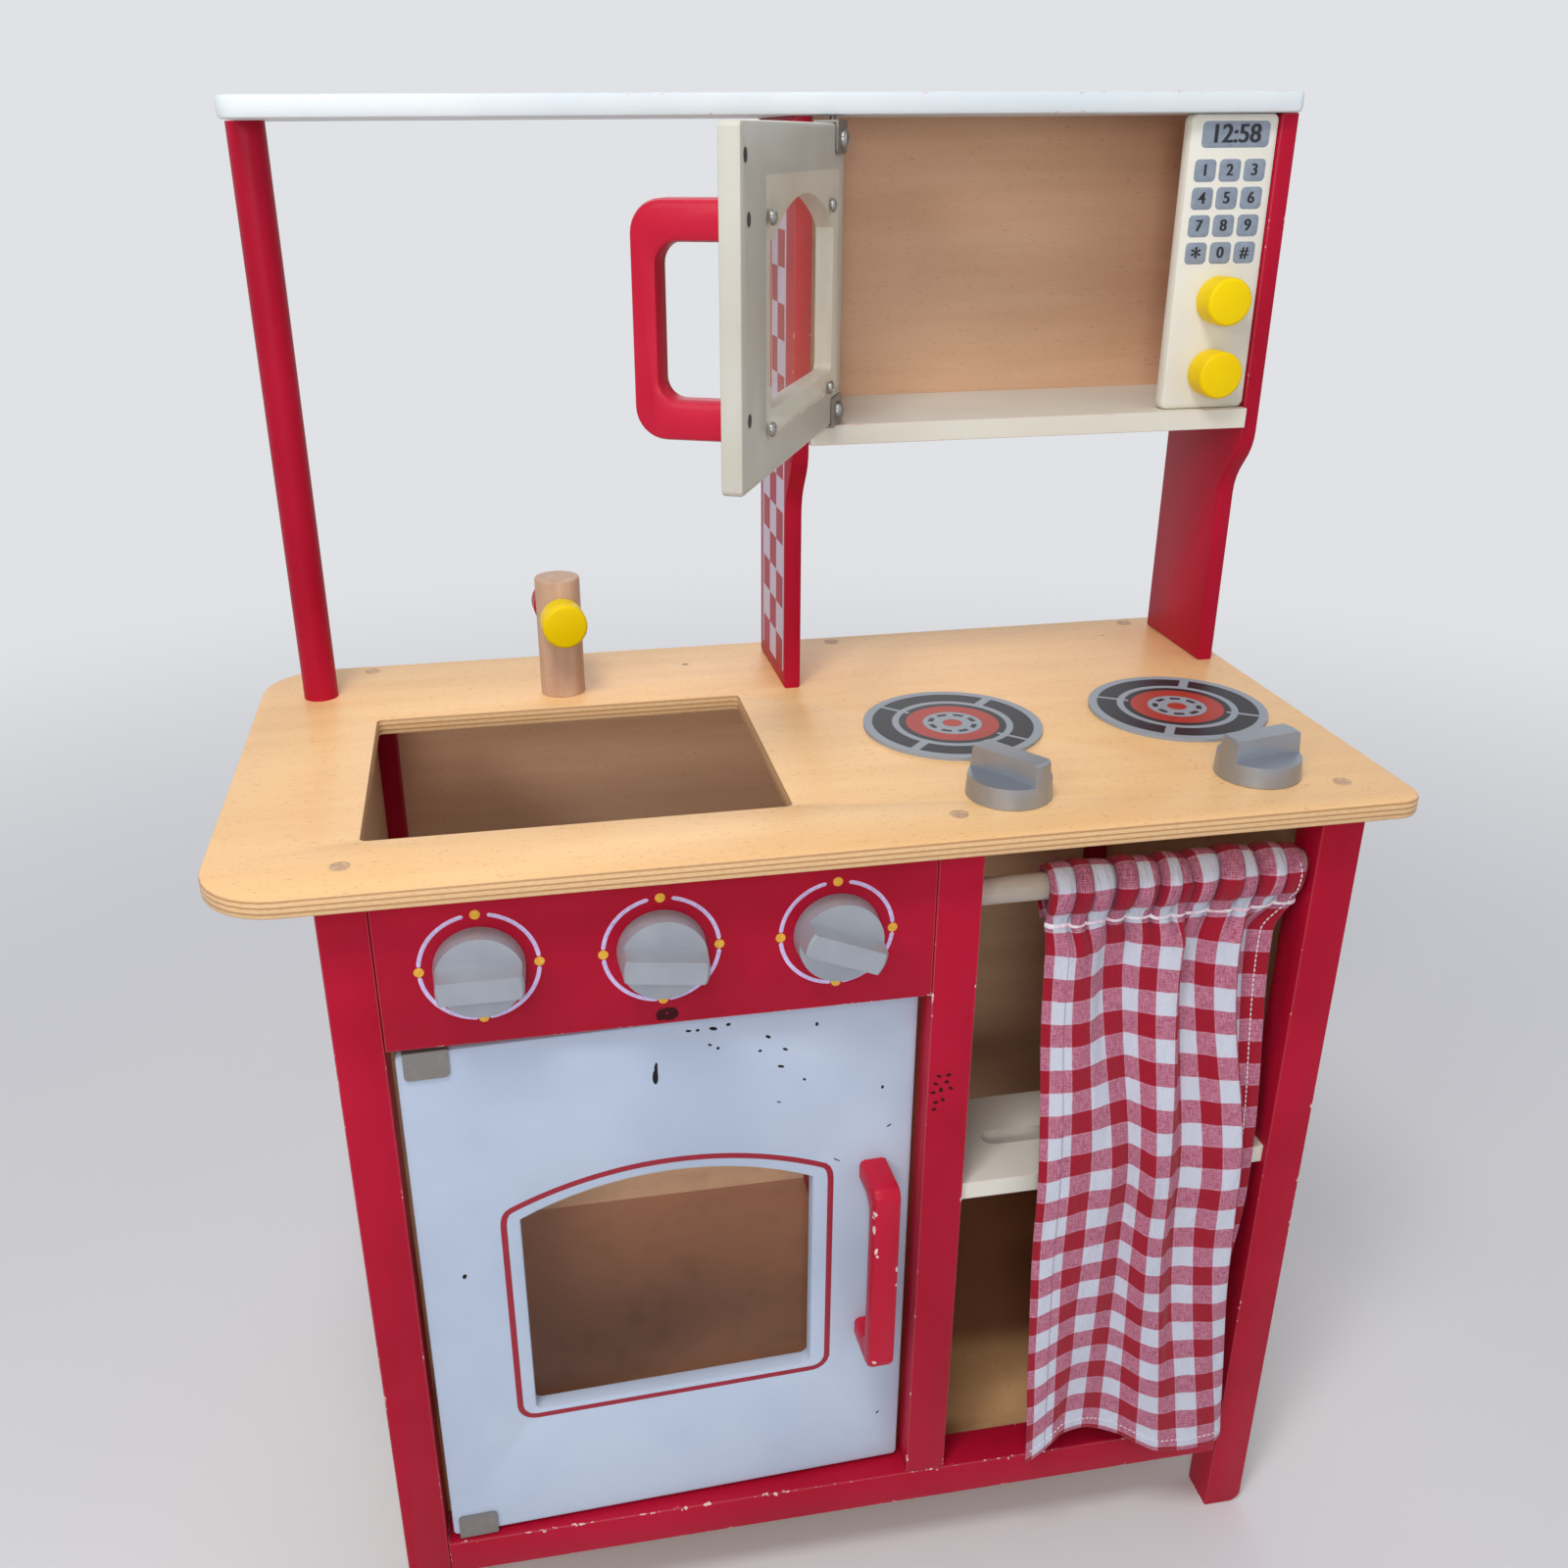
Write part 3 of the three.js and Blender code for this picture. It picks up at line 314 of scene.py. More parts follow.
def worktop_ply():
    """Varnished ply: beech veneer on the flat faces, and seven layers wherever an edge is cut, told apart by
    height alone. The veneer has filled nicks and one small knot."""
    finish = Finish("worktop_ply", 0.4, Coat_Weight=0.12, Coat_Roughness=0.22, Specular_IOR_Level=0.3)
    light, dark = tint(250, 206, 148), tint(243, 196, 138)
    fibre = finish.noise(0.6, 3.0, 0.6, (40, 1, 1))
    flecks = finish.noise(0.8, 1.0, along=(4.5, 1, 1)).step(0.66, 0.74) * 0.6
    tone = finish.blend(finish.noise(22, 3.0, 0.55, (9, 1, 1)).step(0.3, 0.72), light, dark)
    tone = tone.lay(tint(222, 172, 118), fibre.step(0.45, 0.75) * 0.18)
    tone = tone.lay(tint(196, 140, 90), flecks)
    knots = [((x, y, WORKTOP), (wide, deep, 9), 0) for x, y, wide, deep in (
        (-40, 259, 2.6, 1.6), (243, 262, 1.2, 0.9), (-72, 60, 0.9, 0.7), (20, 250, 1.0, 0.8))]
    tone = tone.lay(tint(92, 58, 40), finish.nearest(knots, 1.0).step(1.2, 0.7) * 0.8)
    height, one_layer = finish.split(finish.where)[2], 1.43
    layer = finish.math("PINGPONG", height + finish.noise(4, 1.0, along=(30, 30, 1)) * 0.5, one_layer)
    cut = finish.blend(layer.step(0.25, 0.7), tint(188, 142, 96), tint(232, 194, 146))
    cut = cut.lay(tint(176, 128, 84), finish.noise(1.1, along=(3, 3, 0.4)).step(0.4, 0.7) * 0.3)
    veneer = finish.fold("MAXIMUM", height.step(WORKTOP - 0.5, WORKTOP - 0.15),
                         height.step(WORKTOP_UNDER + 0.5, WORKTOP_UNDER + 0.15))
    return finish.done(cut.lay(tone, veneer), fibre * 0.15 + 0.34, fibre * 0.03 - flecks * 0.05)


def satin_silver(name, metallic):
    """Silver paint on moulded plastic: a fine metallic grain and faint rubbing."""
    finish = Finish(name, 0.4, Metallic=metallic)
    grain = finish.noise(0.28)
    tone = finish.blend(finish.noise(16, 3.0).step(0.3, 0.75), tint(150, 156, 166), tint(158, 164, 173))
    return finish.done(tone.lay(tint(190, 196, 206), grain * 0.25), grain * 0.14 + 0.3, grain * 0.02)


def screw_steel():
    """Plain zinc-plated steel, a little cloudy, with fine scratches."""
    finish = Finish("steel_screws", 0.3, Metallic=1.0)
    cloud = finish.noise(6, 4.0, 0.6).step(0.3, 0.7)
    scratch = finish.noise(0.35, along=(1, 1, 22))
    tone = finish.blend(cloud * 0.3, tint(150, 150, 148), tint(196, 196, 194))
    return finish.done(tone, scratch * 0.25 + 0.2, scratch * 0.02)


def pressed_steel():
    """Grey sheet steel of the clips: an even, dull, finely rolled surface with a little handling wear."""
    finish = Finish("steel_clips", 0.45, Metallic=0.55)
    grain = finish.noise(0.4, along=(1, 1, 9))
    wear = finish.noise(5).step(0.4, 0.8)
    tone = finish.blend(wear * 0.5, tint(134, 131, 128), tint(150, 146, 142))
    return finish.done(tone, grain * 0.15 + 0.38, grain * 0.01)


def clear_pane():
    """Thin clear acrylic with a faint haze. Lamps shine through it."""
    finish = Finish("clear_pane", 0.04, Transmission_Weight=1.0, IOR=1.02, Coat_Weight=0.35,
                    Coat_Roughness=0.04)
    haze = finish.noise(14, 4.0, 0.65)
    finish.give_over(finish.node("ShaderNodeLightPath", out="Is Shadow Ray"),
                     finish.node("ShaderNodeBsdfTransparent", {"Color": tint(244, 246, 244)}))
    tone = finish.blend(haze.step(0.45, 0.8), tint(252, 253, 253), tint(238, 240, 238))
    return finish.done(tone, haze.step(0.5, 0.8) * 0.05 + 0.02)


HOB_RADIUS = 50.5


def hob_print(name, centre, turned):
    """Printed hotplate rings as bands of the distance from the plate's centre, in shares of its radius. The
    ticks and dashes are bands of the angle or of one axis inside them."""
    finish = Finish(name, 0.45, Specular_IOR_Level=0.15)
    grey, black, red = tint(150, 158, 168), tint(40, 38, 43), tint(172, 58, 46)
    turn, scale = (0, 0, math.radians(turned)), (HOB_RADIUS, HOB_RADIUS, 1)
    x, y, _ = finish.split(finish.about(place(*centre), turn, scale))
    far = finish.math("SQRT", x * x + y * y)
    eighths = finish.math("ARCTAN2", y, x) * (8 / (2 * math.pi)) + 8.25
    dashes = finish.math("FRACT", eighths).band(0.2, 0.8, 0.03)
    thin = abs(y).step(0.03, 0.018) * abs(x).band(0.55, 0.97)
    thick = abs(x).step(0.058, 0.044) * abs(y).band(0.60, 0.92)
    worn = finish.noise(0.9, 3.0, 0.7).step(0.66, 0.76)
    tone = finish.blend(far.step(0.892, 0.908), black, grey)
    for colour, share in ((grey, far.band(0.60, 0.675)), (red, far.band(0.33, 0.52)),
                          (grey, far.step(0.338, 0.322)), (black, far.band(0.215, 0.275) * dashes),
                          (red, far.step(0.118, 0.102)), (grey, finish.fold("MAXIMUM", thin, thick)),
                          (tint(128, 126, 126), worn * 0.3)):
        tone = tone.lay(colour, share)
    return finish.done(tone, worn * 0.25 + 0.36, finish.noise(0.6) * 0.04)


def printed(name, colour, other, roughness=0.45, size=2.0):
    """A printed or filled patch: one ink, slightly uneven."""
    finish = Finish(name, roughness)
    patchy = finish.noise(size, 3.0, 0.6).step(0.3, 0.75)
    return finish.done(finish.blend(patchy, colour, other), height=patchy * 0.02)


# The printed strip on the middle upright: its left face, its front and back, its foot and head, and its cells
STRIP_X, STRIP_FRONT, STRIP_BACK, STRIP_LOW, STRIP_HIGH = 13, 206, 270, 520, 815
STRIP_CELL, STRIP_BORDER = 19.3, 3.0


def checker_print():
    """Three columns of square cells with a light border line at both sides: the cells are the parity of the
    whole numbers of cells along depth and height."""
    finish = Finish("checker_print", 0.42, Specular_IOR_Level=0.15)
    _, y, z = finish.split(finish.about(place(STRIP_X, STRIP_FRONT, STRIP_LOW)))
    across, up = (finish.math("FLOOR", value / STRIP_CELL) for value in (y - STRIP_BORDER, z))
    lilac, middle = tint(206, 196, 216), (STRIP_BACK - STRIP_FRONT) / 2
    tone = finish.blend(finish.math("PINGPONG", across + up, 1.0), tint(168, 22, 52), lilac)
    inner = middle - STRIP_BORDER
    tone = tone.lay(lilac, abs(y - middle).step(inner, inner + 0.2))
    worn = finish.noise(1.6, 4.0, 0.7).step(0.64, 0.74)
    return finish.done(tone.lay(tint(170, 120, 130), worn * 0.3), height=worn * -0.03)


# The cloth's cells, in millimetres across it and up it from its seam, and where a red stripe begins each way
CELL_WIDE, CELL_HIGH = 14.4, 13.7
RED_ACROSS, RED_UP = 20.4, 9.5
HEM_FOLD = 14.6
THREAD = 0.36


def gingham():
    """Woven check on the cloth's own map, in millimetres: a stripe of red threads each way. Where both ways
    are red or both white the cell is plain, and where they cross it is heathered. Single threads show as a
    fine weave, with thick and thin places."""
    finish = Finish("gingham_cotton", 0.85, Sheen_Weight=0.12, Sheen_Roughness=0.5, Specular_IOR_Level=0.15)
    cloth = finish.about((0, 0, 0), source=finish.cloth)
    shake = finish.vector("SUBTRACT", finish.noise(1 / 0.9, source=cloth, out=1), (0.5, 0.5, 0.5))
    u, v, _ = finish.split(finish.vector("ADD", cloth, finish.vector("MULTIPLY", shake, (0.5, 0.5, 0))))

    def wave(value, start, cell):
        """How far a point is from the middle of a white stripe: half a cell where a red one begins."""
        return finish.math("PINGPONG", value + (cell * 40.5 - start), cell)

    waves = (wave(u, RED_ACROSS, CELL_WIDE), CELL_WIDE), (wave(v, RED_UP, CELL_HIGH), CELL_HIGH)
    warp, weft = (value.step(cell / 2 - 0.3, cell / 2 + 0.3) for value, cell in waves)
    plain_u, plain_v, _ = finish.split(cloth)
    weave_u, weave_v = (finish.math("PINGPONG", plain, THREAD) for plain in (plain_u, plain_v))
    over = (weave_u - weave_v).step(-0.14, 0.14)
    slub_u, slub_v = (finish.noise(0.6, 2.0, 0.7, along, cloth) for along in ((1, 9, 1), (9, 1, 1)))
    mottle = finish.noise(0.8, 2.0, 0.8, (1, 1.6, 1), cloth)
    threads = over * 0.3 + (slub_u - slub_v + mottle * 0.5)
    heather = finish.blend(threads.step(0.1, 0.75), tint(156, 62, 90), tint(206, 146, 170))
    white = finish.blend(slub_v, tint(212, 217, 229), tint(194, 199, 217))
    red = finish.blend(slub_u, tint(172, 26, 50), tint(140, 14, 36))
    tone = finish.blend(finish.fold("MAXIMUM", warp, weft), white, heather).lay(red, warp * weft)
    for value, cell in waves:
        tone = tone.lay(tint(232, 190, 204), abs(value - (cell / 2 - 0.5)).step(0.45, 0.1) * 0.22)
    tone = tone.lay(tint(112, 70, 92), abs(u - HEM_FOLD).step(0.55, 0.15) * 0.5)
    # Painted shade: the creases of the gathers are darkened by the mesh's crease attribute, in place of the
    # shadow in them
    crease = finish.node("ShaderNodeAttribute", out="Fac", attribute_name="crease")
    tone = tone.lay(tint(74, 22, 52), crease * 0.72)
    wrinkle = finish.noise(6, 4.0, 0.65, (1, 2.4, 1), cloth)
    pleats = finish.noise(2.6, along=(1, 6, 1), source=cloth) * (plain_v.step(-6, 5) * 2.4)
    return finish.done(tone, height=pleats + (wrinkle * 1.6 + (over * 0.05 + slub_u * 0.08)))


# Meshes: points and faces worked out as whole arrays
SPUN_STEPS = 24
SCREW_STEPS = 48
CORNER_STEPS = 5
MERGE = 0.01
CREASED = math.radians(38)


def grid_faces(rows, columns, wrap_rows=False, wrap_columns=False):
    """Quads of a grid of points, joined round where it wraps."""
    i, j = np.indices((rows - (not wrap_rows), columns - (not wrap_columns)))
    below, beside = (i + 1) % rows * columns, (j + 1) % columns
    quads = i * columns + j, i * columns + beside, below + beside, below + j
    return np.stack(quads, axis=-1).reshape(-1, 4)


def full_turn(steps):
    """Even angles all the way round."""
    return np.linspace(0, 2 * math.pi, steps, endpoint=False)


def grid_mesh(name, points, faces):
    """A mesh in the row frame, in metres, from points in millimetres behind the legs' front plane."""
    mesh = bpy.data.meshes.new(name)
    mesh.from_pydata((points * MM + np.array([0, LEG_FRONT, 0])).tolist(), [], faces.tolist())
    return mesh


def hang(name, mesh, material, body):
    """An object from its mesh, with its finish, that rides on a body."""
    mesh.materials.append(material)
    made = linked(name, mesh)
    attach(made, body)
    return made


def piece(name, parts, material, body):
    """One object from several closed shells. Each part is points in millimetres and its quads. Its doubled
    points are merged and its faces turned outwards."""
    starts = np.cumsum([0] + [len(points) for points, _ in parts])
    mesh = grid_mesh(name, np.concatenate([points for points, _ in parts]),
                     np.concatenate([faces + start for (_, faces), start in zip(parts, starts)]))
    shell = bmesh.new()
    shell.from_mesh(mesh)
    bmesh.ops.remove_doubles(shell, verts=shell.verts, dist=MERGE * MM)
    bmesh.ops.dissolve_degenerate(shell, edges=shell.edges, dist=MERGE * MM)
    bmesh.ops.recalc_face_normals(shell, faces=shell.faces)
    for edge in shell.edges:
        edge.smooth = len(edge.link_faces) == 2 and edge.calc_face_angle(0) < CREASED
    shell.to_mesh(mesh)
    shell.free()
    mesh.polygons.foreach_set("use_smooth", np.ones(len(mesh.polygons), dtype=bool))
    return hang(name, mesh, material, body)


def lengths_along(path):
    """How far each point of a path is from its first, measured along it."""
    return np.concatenate([[0], np.cumsum(np.linalg.norm(np.diff(path, axis=0), axis=1))])


class Face:
    """A flat face that prints and screws are set on: a point on it, and its right, up and outward ways."""

    def __init__(self, origin, right, up, out):
        self.origin, self.right, self.up, self.out = (np.array(v, float) for v in (origin, right, up, out))

    def at(self, across, along, height):
        """Points from how far right, up and out they are."""
        far = np.stack(np.broadcast_arrays(across, along, height), axis=-1)[..., None]
        return self.origin + (far * np.stack([self.right, self.up, self.out])).sum(-2)


def domed_line(face, across, along, width, height, closed=False):
    """A flat line of paint with a low round back, carried along a path. Each cross-section is half an oval
    as wide as width and as high as height. An open line narrows to a round end: its half width follows a
    quarter circle over its last half width."""
    path = np.stack([across, along], axis=-1)
    ahead = (np.roll(path, -1, 0) - np.roll(path, 1, 0)) if closed else np.gradient(path, axis=0)
    ahead /= np.linalg.norm(ahead, axis=1, keepdims=True)
    side = np.stack([-ahead[:, 1], ahead[:, 0]], axis=-1)
    half = np.full(len(path), width / 2)
    if not closed:
        run = lengths_along(path)
        left = np.minimum(np.minimum(run, run[-1] - run) / (width / 2), 1)
        half = half * np.sqrt(1 - (1 - left) ** 2)
    turn = np.linspace(0, math.pi, 7)
    offsets, lifts = np.append(np.cos(turn), 0), np.append(np.sin(turn) ** 0.5, -0.4)
    flat = path[:, None, :] + side[:, None, :] * (half[:, None] * offsets[None, :])[..., None]
    rise = height * lifts[None, :] * (half / (width / 2))[:, None]
    points = face.at(flat[..., 0], flat[..., 1], rise).reshape(-1, 3)
    return points, grid_faces(len(path), len(offsets), wrap_rows=closed, wrap_columns=True)


def spun(face, across, along, profile):
    """A profile of radius and height spun round an axis square to a face. Both its ends are at radius 0."""
    radius, height = np.array(profile, float).T
    angle = full_turn(SPUN_STEPS)
    points = face.at(across + radius[:, None] * np.cos(angle), along + radius[:, None] * np.sin(angle),
                     height[:, None])
    return points.reshape(-1, 3), grid_faces(len(profile), SPUN_STEPS, wrap_columns=True)


def rounded(x0, y0, x1, y1, radius):
    """The outline of a rectangle with quarter circles at its corners, anticlockwise."""
    quarter = np.linspace(0, math.pi / 2, CORNER_STEPS + 1)
    centres = [(x1 - radius, y1 - radius), (x0 + radius, y1 - radius), (x0 + radius, y0 + radius),
               (x1 - radius, y0 + radius)]
    return np.concatenate([np.stack([x + radius * np.cos(quarter + turn * math.pi / 2),
                                     y + radius * np.sin(quarter + turn * math.pi / 2)], axis=-1)
                           for turn, (x, y) in enumerate(centres)])


def patch(face, outline, height, drawn_in=0.985, shoulder=0.6):
    """A thin patch or board: its outline as a low wall, and rings that shrink to its middle on both sides. At
    its outer face the outline is drawn in a little, from the shoulder up."""
    middle = outline.mean(0)
    rings = [(0.0, -0.05), (0.85, -0.05), (1.0, -0.05), (1.0, height * shoulder), (drawn_in, height),
             (0.5, height), (0.0, height)]
    points = [face.at(*(middle + share * (outline - middle)).T, lift) for share, lift in rings]
    return np.concatenate(points), grid_faces(len(rings), len(outline), wrap_columns=True)


def screw(face, across, along, radius, turn, lift):
    """A pan-head screw, lifted off a face: a low dome spun round its axis, pressed in where a point lies
    within half a slot of either arm of a cross."""
    share = np.array([0.0, 0.12, 0.24, 0.36, 0.48, 0.6, 0.74, 0.88, 0.97, 1.0, 1.0, 0.0])
    rise = np.array([1.0, 0.995, 0.98, 0.955, 0.92, 0.87, 0.78, 0.6, 0.38, 0.2, -0.2, -0.2])
    angle, cos, sin = full_turn(SCREW_STEPS), math.cos(turn), math.sin(turn)
    x, y = share[:, None] * np.cos(angle), share[:, None] * np.sin(angle)
    arm = np.minimum(abs(x * cos + y * sin), abs(y * cos - x * sin))
    inside = (np.hypot(x, y) < 0.62) & (arm < 0.14) & (np.arange(len(share))[:, None] < 6)
    height = (rise[:, None] - 0.45 * inside) * radius * 0.62 + lift
    points = face.at(across + radius * x, along + radius * y, height)
    return points.reshape(-1, 3), grid_faces(len(share), SCREW_STEPS, wrap_columns=True)


# Faces that carry small pieces
PANEL = Face((0, 0, 0), (1, 0, 0), (0, 0, 1), (0, -1, 0))
TOP = Face((0, 0, WORKTOP), (1, 0, 0), (0, 1, 0), (0, 0, 1))
KEYPAD = Face((0, 188, 0), (1, 0, 0), (0, 0, 1), (0, -1, 0))
STRIP = Face((STRIP_X, 0, 0), (0, -1, 0), (0, 0, 1), (-1, 0, 0))
DOOR_THICKNESS = 10


def door_faces(pivot, opened):
    """The outer and inner face of a door that stands open by some degrees: across runs from its pivot."""
    cos, sin = math.cos(math.radians(opened)), math.sin(math.radians(opened))
    along, out = np.array([cos, -sin, 0]), np.array([-sin, -cos, 0])
    middle, half = np.array([*pivot, 0.0]), out * DOOR_THICKNESS / 2
    return Face(middle + half, along, (0, 0, 1), out), Face(middle - half, along, (0, 0, 1), -out)


OVEN_PIVOT, OVEN_OPENED = (-213.8, 8.5), -2.0
OVEN_OUTER, OVEN_INNER = door_faces(OVEN_PIVOT, OVEN_OPENED)
OVEN_LOW, OVEN_HIGH = (corner.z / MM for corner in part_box("oven_door"))
MICROWAVE_INNER = door_faces((33.7, 188), 115.5)[1]

KNOBS_X, KNOBS_Z, RING_RADIUS = (-176.5, -89.2, -1.9), 456.75, 28.4
DOT_PROFILE = [(0, -0.05), (2.5, -0.05), (2.45, 0.14), (1.6, 0.2), (0, 0.22)]


def control_panel_print():
    """Round each knob a light ring in four arcs with round ends, and a gold dot at each quarter."""
    def ring(x, angle):
        return x + RING_RADIUS * np.cos(angle), KNOBS_Z + RING_RADIUS * np.sin(angle)

    arcs, dots = [], []
    for x in KNOBS_X:
        for quarter in range(4):
            # The arcs stop short of the top dot by more than of the other three
            low = math.radians(90 * quarter + (11 if quarter == 1 else 5))
            high = math.radians(90 * quarter + (79 if quarter == 0 else 85))
            arcs.append(domed_line(PANEL, *ring(x, np.linspace(low, high, 42)), 2.1, 0.16))
            dots.append(spun(PANEL, *ring(x, quarter * math.pi / 2), DOT_PROFILE))
    lilac = printed("lilac_print", tint(214, 200, 240), tint(190, 172, 222))
    gold = printed("gold_print", tint(238, 186, 60), tint(220, 160, 40))
    piece("control_panel_rings", arcs, lilac, "cabinet")
    piece("control_panel_dots", dots, gold, "cabinet")


ARCH_STEPS, CORNER_CURVE_STEPS, OUTLINE_STEPS = 33, 9, 220


def arch(left, right, bottom, side, rise, radius):
    """A window's outline: a rectangle with round lower corners and a low arc of a circle over it, whose ends
    are rounded too. The arc's radius follows from its chord and rise."""
    half, middle = (right - left) / 2, (left + right) / 2
    big = (half * half + rise * rise) / (2 * rise)
    reach = math.asin((half - radius * 0.45) / big)
    bow = np.linspace(-reach, reach, ARCH_STEPS)
    crown = np.stack([middle - big * np.sin(bow), side + rise - big * (1 - np.cos(bow))], axis=-1)
    quarter = np.linspace(0, math.pi / 2, CORNER_CURVE_STEPS)
    round_x, round_y = radius * np.cos(quarter), radius * np.sin(quarter)
    low_left = np.stack([left + radius - round_x, bottom + radius - round_y], -1)
    low_right = np.stack([right - radius + round_y, bottom + radius - round_x], -1)

    def shoulder(a, corner, b):
        """A corner rounded by the curve that leaves both its legs smoothly: weights (1-t)^2, 2t(1-t), t^2."""
        t = np.linspace(0, 1, CORNER_CURVE_STEPS)[:, None]
        return (1 - t) ** 2 * np.array(a) + 2 * t * (1 - t) * np.array(corner) + t ** 2 * np.array(b)

    right_corner = shoulder((right, side - radius), (right, side), crown[0])
    left_corner = shoulder(crown[-1], (left, side), (left, side - radius))
    outline = np.concatenate([low_left, low_right, right_corner[:-1], crown, left_corner[1:], low_left[:1]])
    run = lengths_along(outline)
    even = np.linspace(0, run[-1], OUTLINE_STEPS, endpoint=False)
    return np.interp(even, run, outline[:, 0]), np.interp(even, run, outline[:, 1])


def oven_window_line():
    """A red line painted round the oven's window, a finger's width outside it."""
    left, right, low, high, rise = 36.8, 214.3, OVEN_LOW + 82.6, OVEN_LOW + 247.3, 20
    across, along = arch(left, right, low, high - rise, rise, 9)
    line = domed_line(OVEN_OUTER, across, along, 3.4, 0.1, closed=True)
    red = printed("red_line_print", tint(160, 14, 44), tint(140, 10, 38))
    piece("oven_window_line", [line], red, "oven_door")


def figures(name, words, colour, body):
    """Printed numbers: each is a flat glyph with a little height, made a mesh and set on a face. Three copies
    a little apart make it bold, each a hair higher than the last."""
    glyphs = bmesh.new()
    for text, face, across, along, size, bold, copy in [(*word, copy) for word in words for copy in range(3)]:
        curve = bpy.data.curves.new(name, "FONT")
        curve.body = text
        curve.size = size * MM
        curve.extrude = 0.05 * MM
        curve.offset = 0.06 * MM
        curve.align_x = curve.align_y = "CENTER"
        holder = linked(name, curve)
        flat = bpy.data.meshes.new_from_object(holder.evaluated_get(bpy.context.evaluated_depsgraph_get()))
        corner = place(*face.at(across + bold * (copy - 1), along, 0.17 + 0.01 * copy))
        flat.transform(Matrix.Translation(corner) @ axes(face.right, face.up, face.out))
        glyphs.from_mesh(flat)
        bpy.data.objects.remove(holder)
    bmesh.ops.remove_doubles(glyphs, verts=glyphs.verts, dist=0.002 * MM)
    mesh = bpy.data.meshes.new(name)
    glyphs.to_mesh(mesh)
    glyphs.free()
    hang(name, mesh, colour, body)


KEY_WIDE, KEY_HIGH, KEY_STEP_ACROSS, KEY_STEP_DOWN = 12.5, 11.4, 14.4, 14.1
KEYS_LEFT, KEYS_TOP, KEY_THICK = 235.2, 804, 0.12


def keypad_print():
    """A clock field and twelve keys, as thin rounded patches, with their numbers."""
    keys = [patch(KEYPAD, rounded(237.5, 809.6, 276.5, 822.8, 2.6), KEY_THICK)]
    words = [("12:58", KEYPAD, 257.0, 816.2, 13.2, 0.36)]
    for index, text in enumerate("123456789*0#"):
        left, top = KEYS_LEFT + KEY_STEP_ACROSS * (index % 3), KEYS_TOP - KEY_STEP_DOWN * (index // 3)
        keys.append(patch(KEYPAD, rounded(left, top - KEY_HIGH, left + KEY_WIDE, top, 2.5), KEY_THICK))
        size, drop = (13, 2.2) if text == "*" else (8.4, 0.0)
        words.append((text, KEYPAD, left + KEY_WIDE / 2, top - KEY_HIGH / 2 - drop, size, 0.24))
    grey = printed("keypad_grey", tint(142, 154, 170), tint(126, 140, 158), 0.4, 5.0)
    piece("keypad_keys", keys, grey, "cabinet")
    figures("keypad_figures", words, printed("dark_print", tint(24, 25, 30), tint(34, 35, 42)), "cabinet")


def checker_strip():
    """A printed strip of squares on the middle upright's left face."""
    outline = rounded(-STRIP_BACK, STRIP_LOW, -STRIP_FRONT, STRIP_HIGH, 1.0)
    piece("checker_strip", [patch(STRIP, outline, 0.12)], checker_print(), "cabinet")


def microwave_back():
    """The board behind the microwave. It ends just under the floor's top, where the frame's own piece hangs
    lower than the real one does."""
    low, high = (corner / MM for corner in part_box("microwave_back"))
    thick = 5.0
    back = Face((0, high.y - LEG_FRONT / MM - thick, 0), (-1, 0, 0), (0, 0, 1), (0, 1, 0))
    board = patch(back, rounded(-high.x, MICROWAVE_BACK_LOW, -low.x, high.z, 0.5), thick, 0.9996, 0.97)
    beech = wooden("beech_microwave_back", tint(222, 182, 148), tint(214, 171, 136), ALONG_X,
                   tint(180, 132, 94), 16.0)
    made = piece("microwave_back_board", [board], beech, "cabinet")
    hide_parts("microwave_back")


# How far from its pivot and how high each door is bored for its handle and catch, or screwed on its pane and
# clips, with each screw's turn
SUNK_HOLES = ((183.7, 704), (183.7, 785.5), (188.7, 810))
MICROWAVE_PANE_SCREWS = ((27.5, 695, 0.4), (152, 695, 1.0), (28.5, 785, 0.2), (152, 785, 0.7))
MICROWAVE_CLIP_SCREWS = ((3.4, 815.5, 0.5), (3.4, 679, 1.1))
OVEN_PANE_SCREWS = ((40, OVEN_LOW + 81, 0.3), (212, OVEN_LOW + 81, 0.9), (40, OVEN_LOW + 232, 0.6),
                    (212, OVEN_LOW + 232, 0.1))
OVEN_CLIP_SCREWS = ((6.8, OVEN_HIGH - 7.5, 0.5), (6.8, OVEN_LOW + 7.5, 1.1))
PANE_HEAD, PANE_LIFT, CLIP_LIFT = 3.4, 2.0, 1.5
HOLE_PROFILE = [(0, -0.1), (2.9, -0.1), (3.1, 0.05), (2.7, 0.1), (0, 0.06)]
PLUG_PROFILE = [(0, -0.05), (4.9, -0.05), (4.9, 0.05), (4.5, 0.16), (3.6, 0.2), (3.0, 0.12), (0, 0.1)]


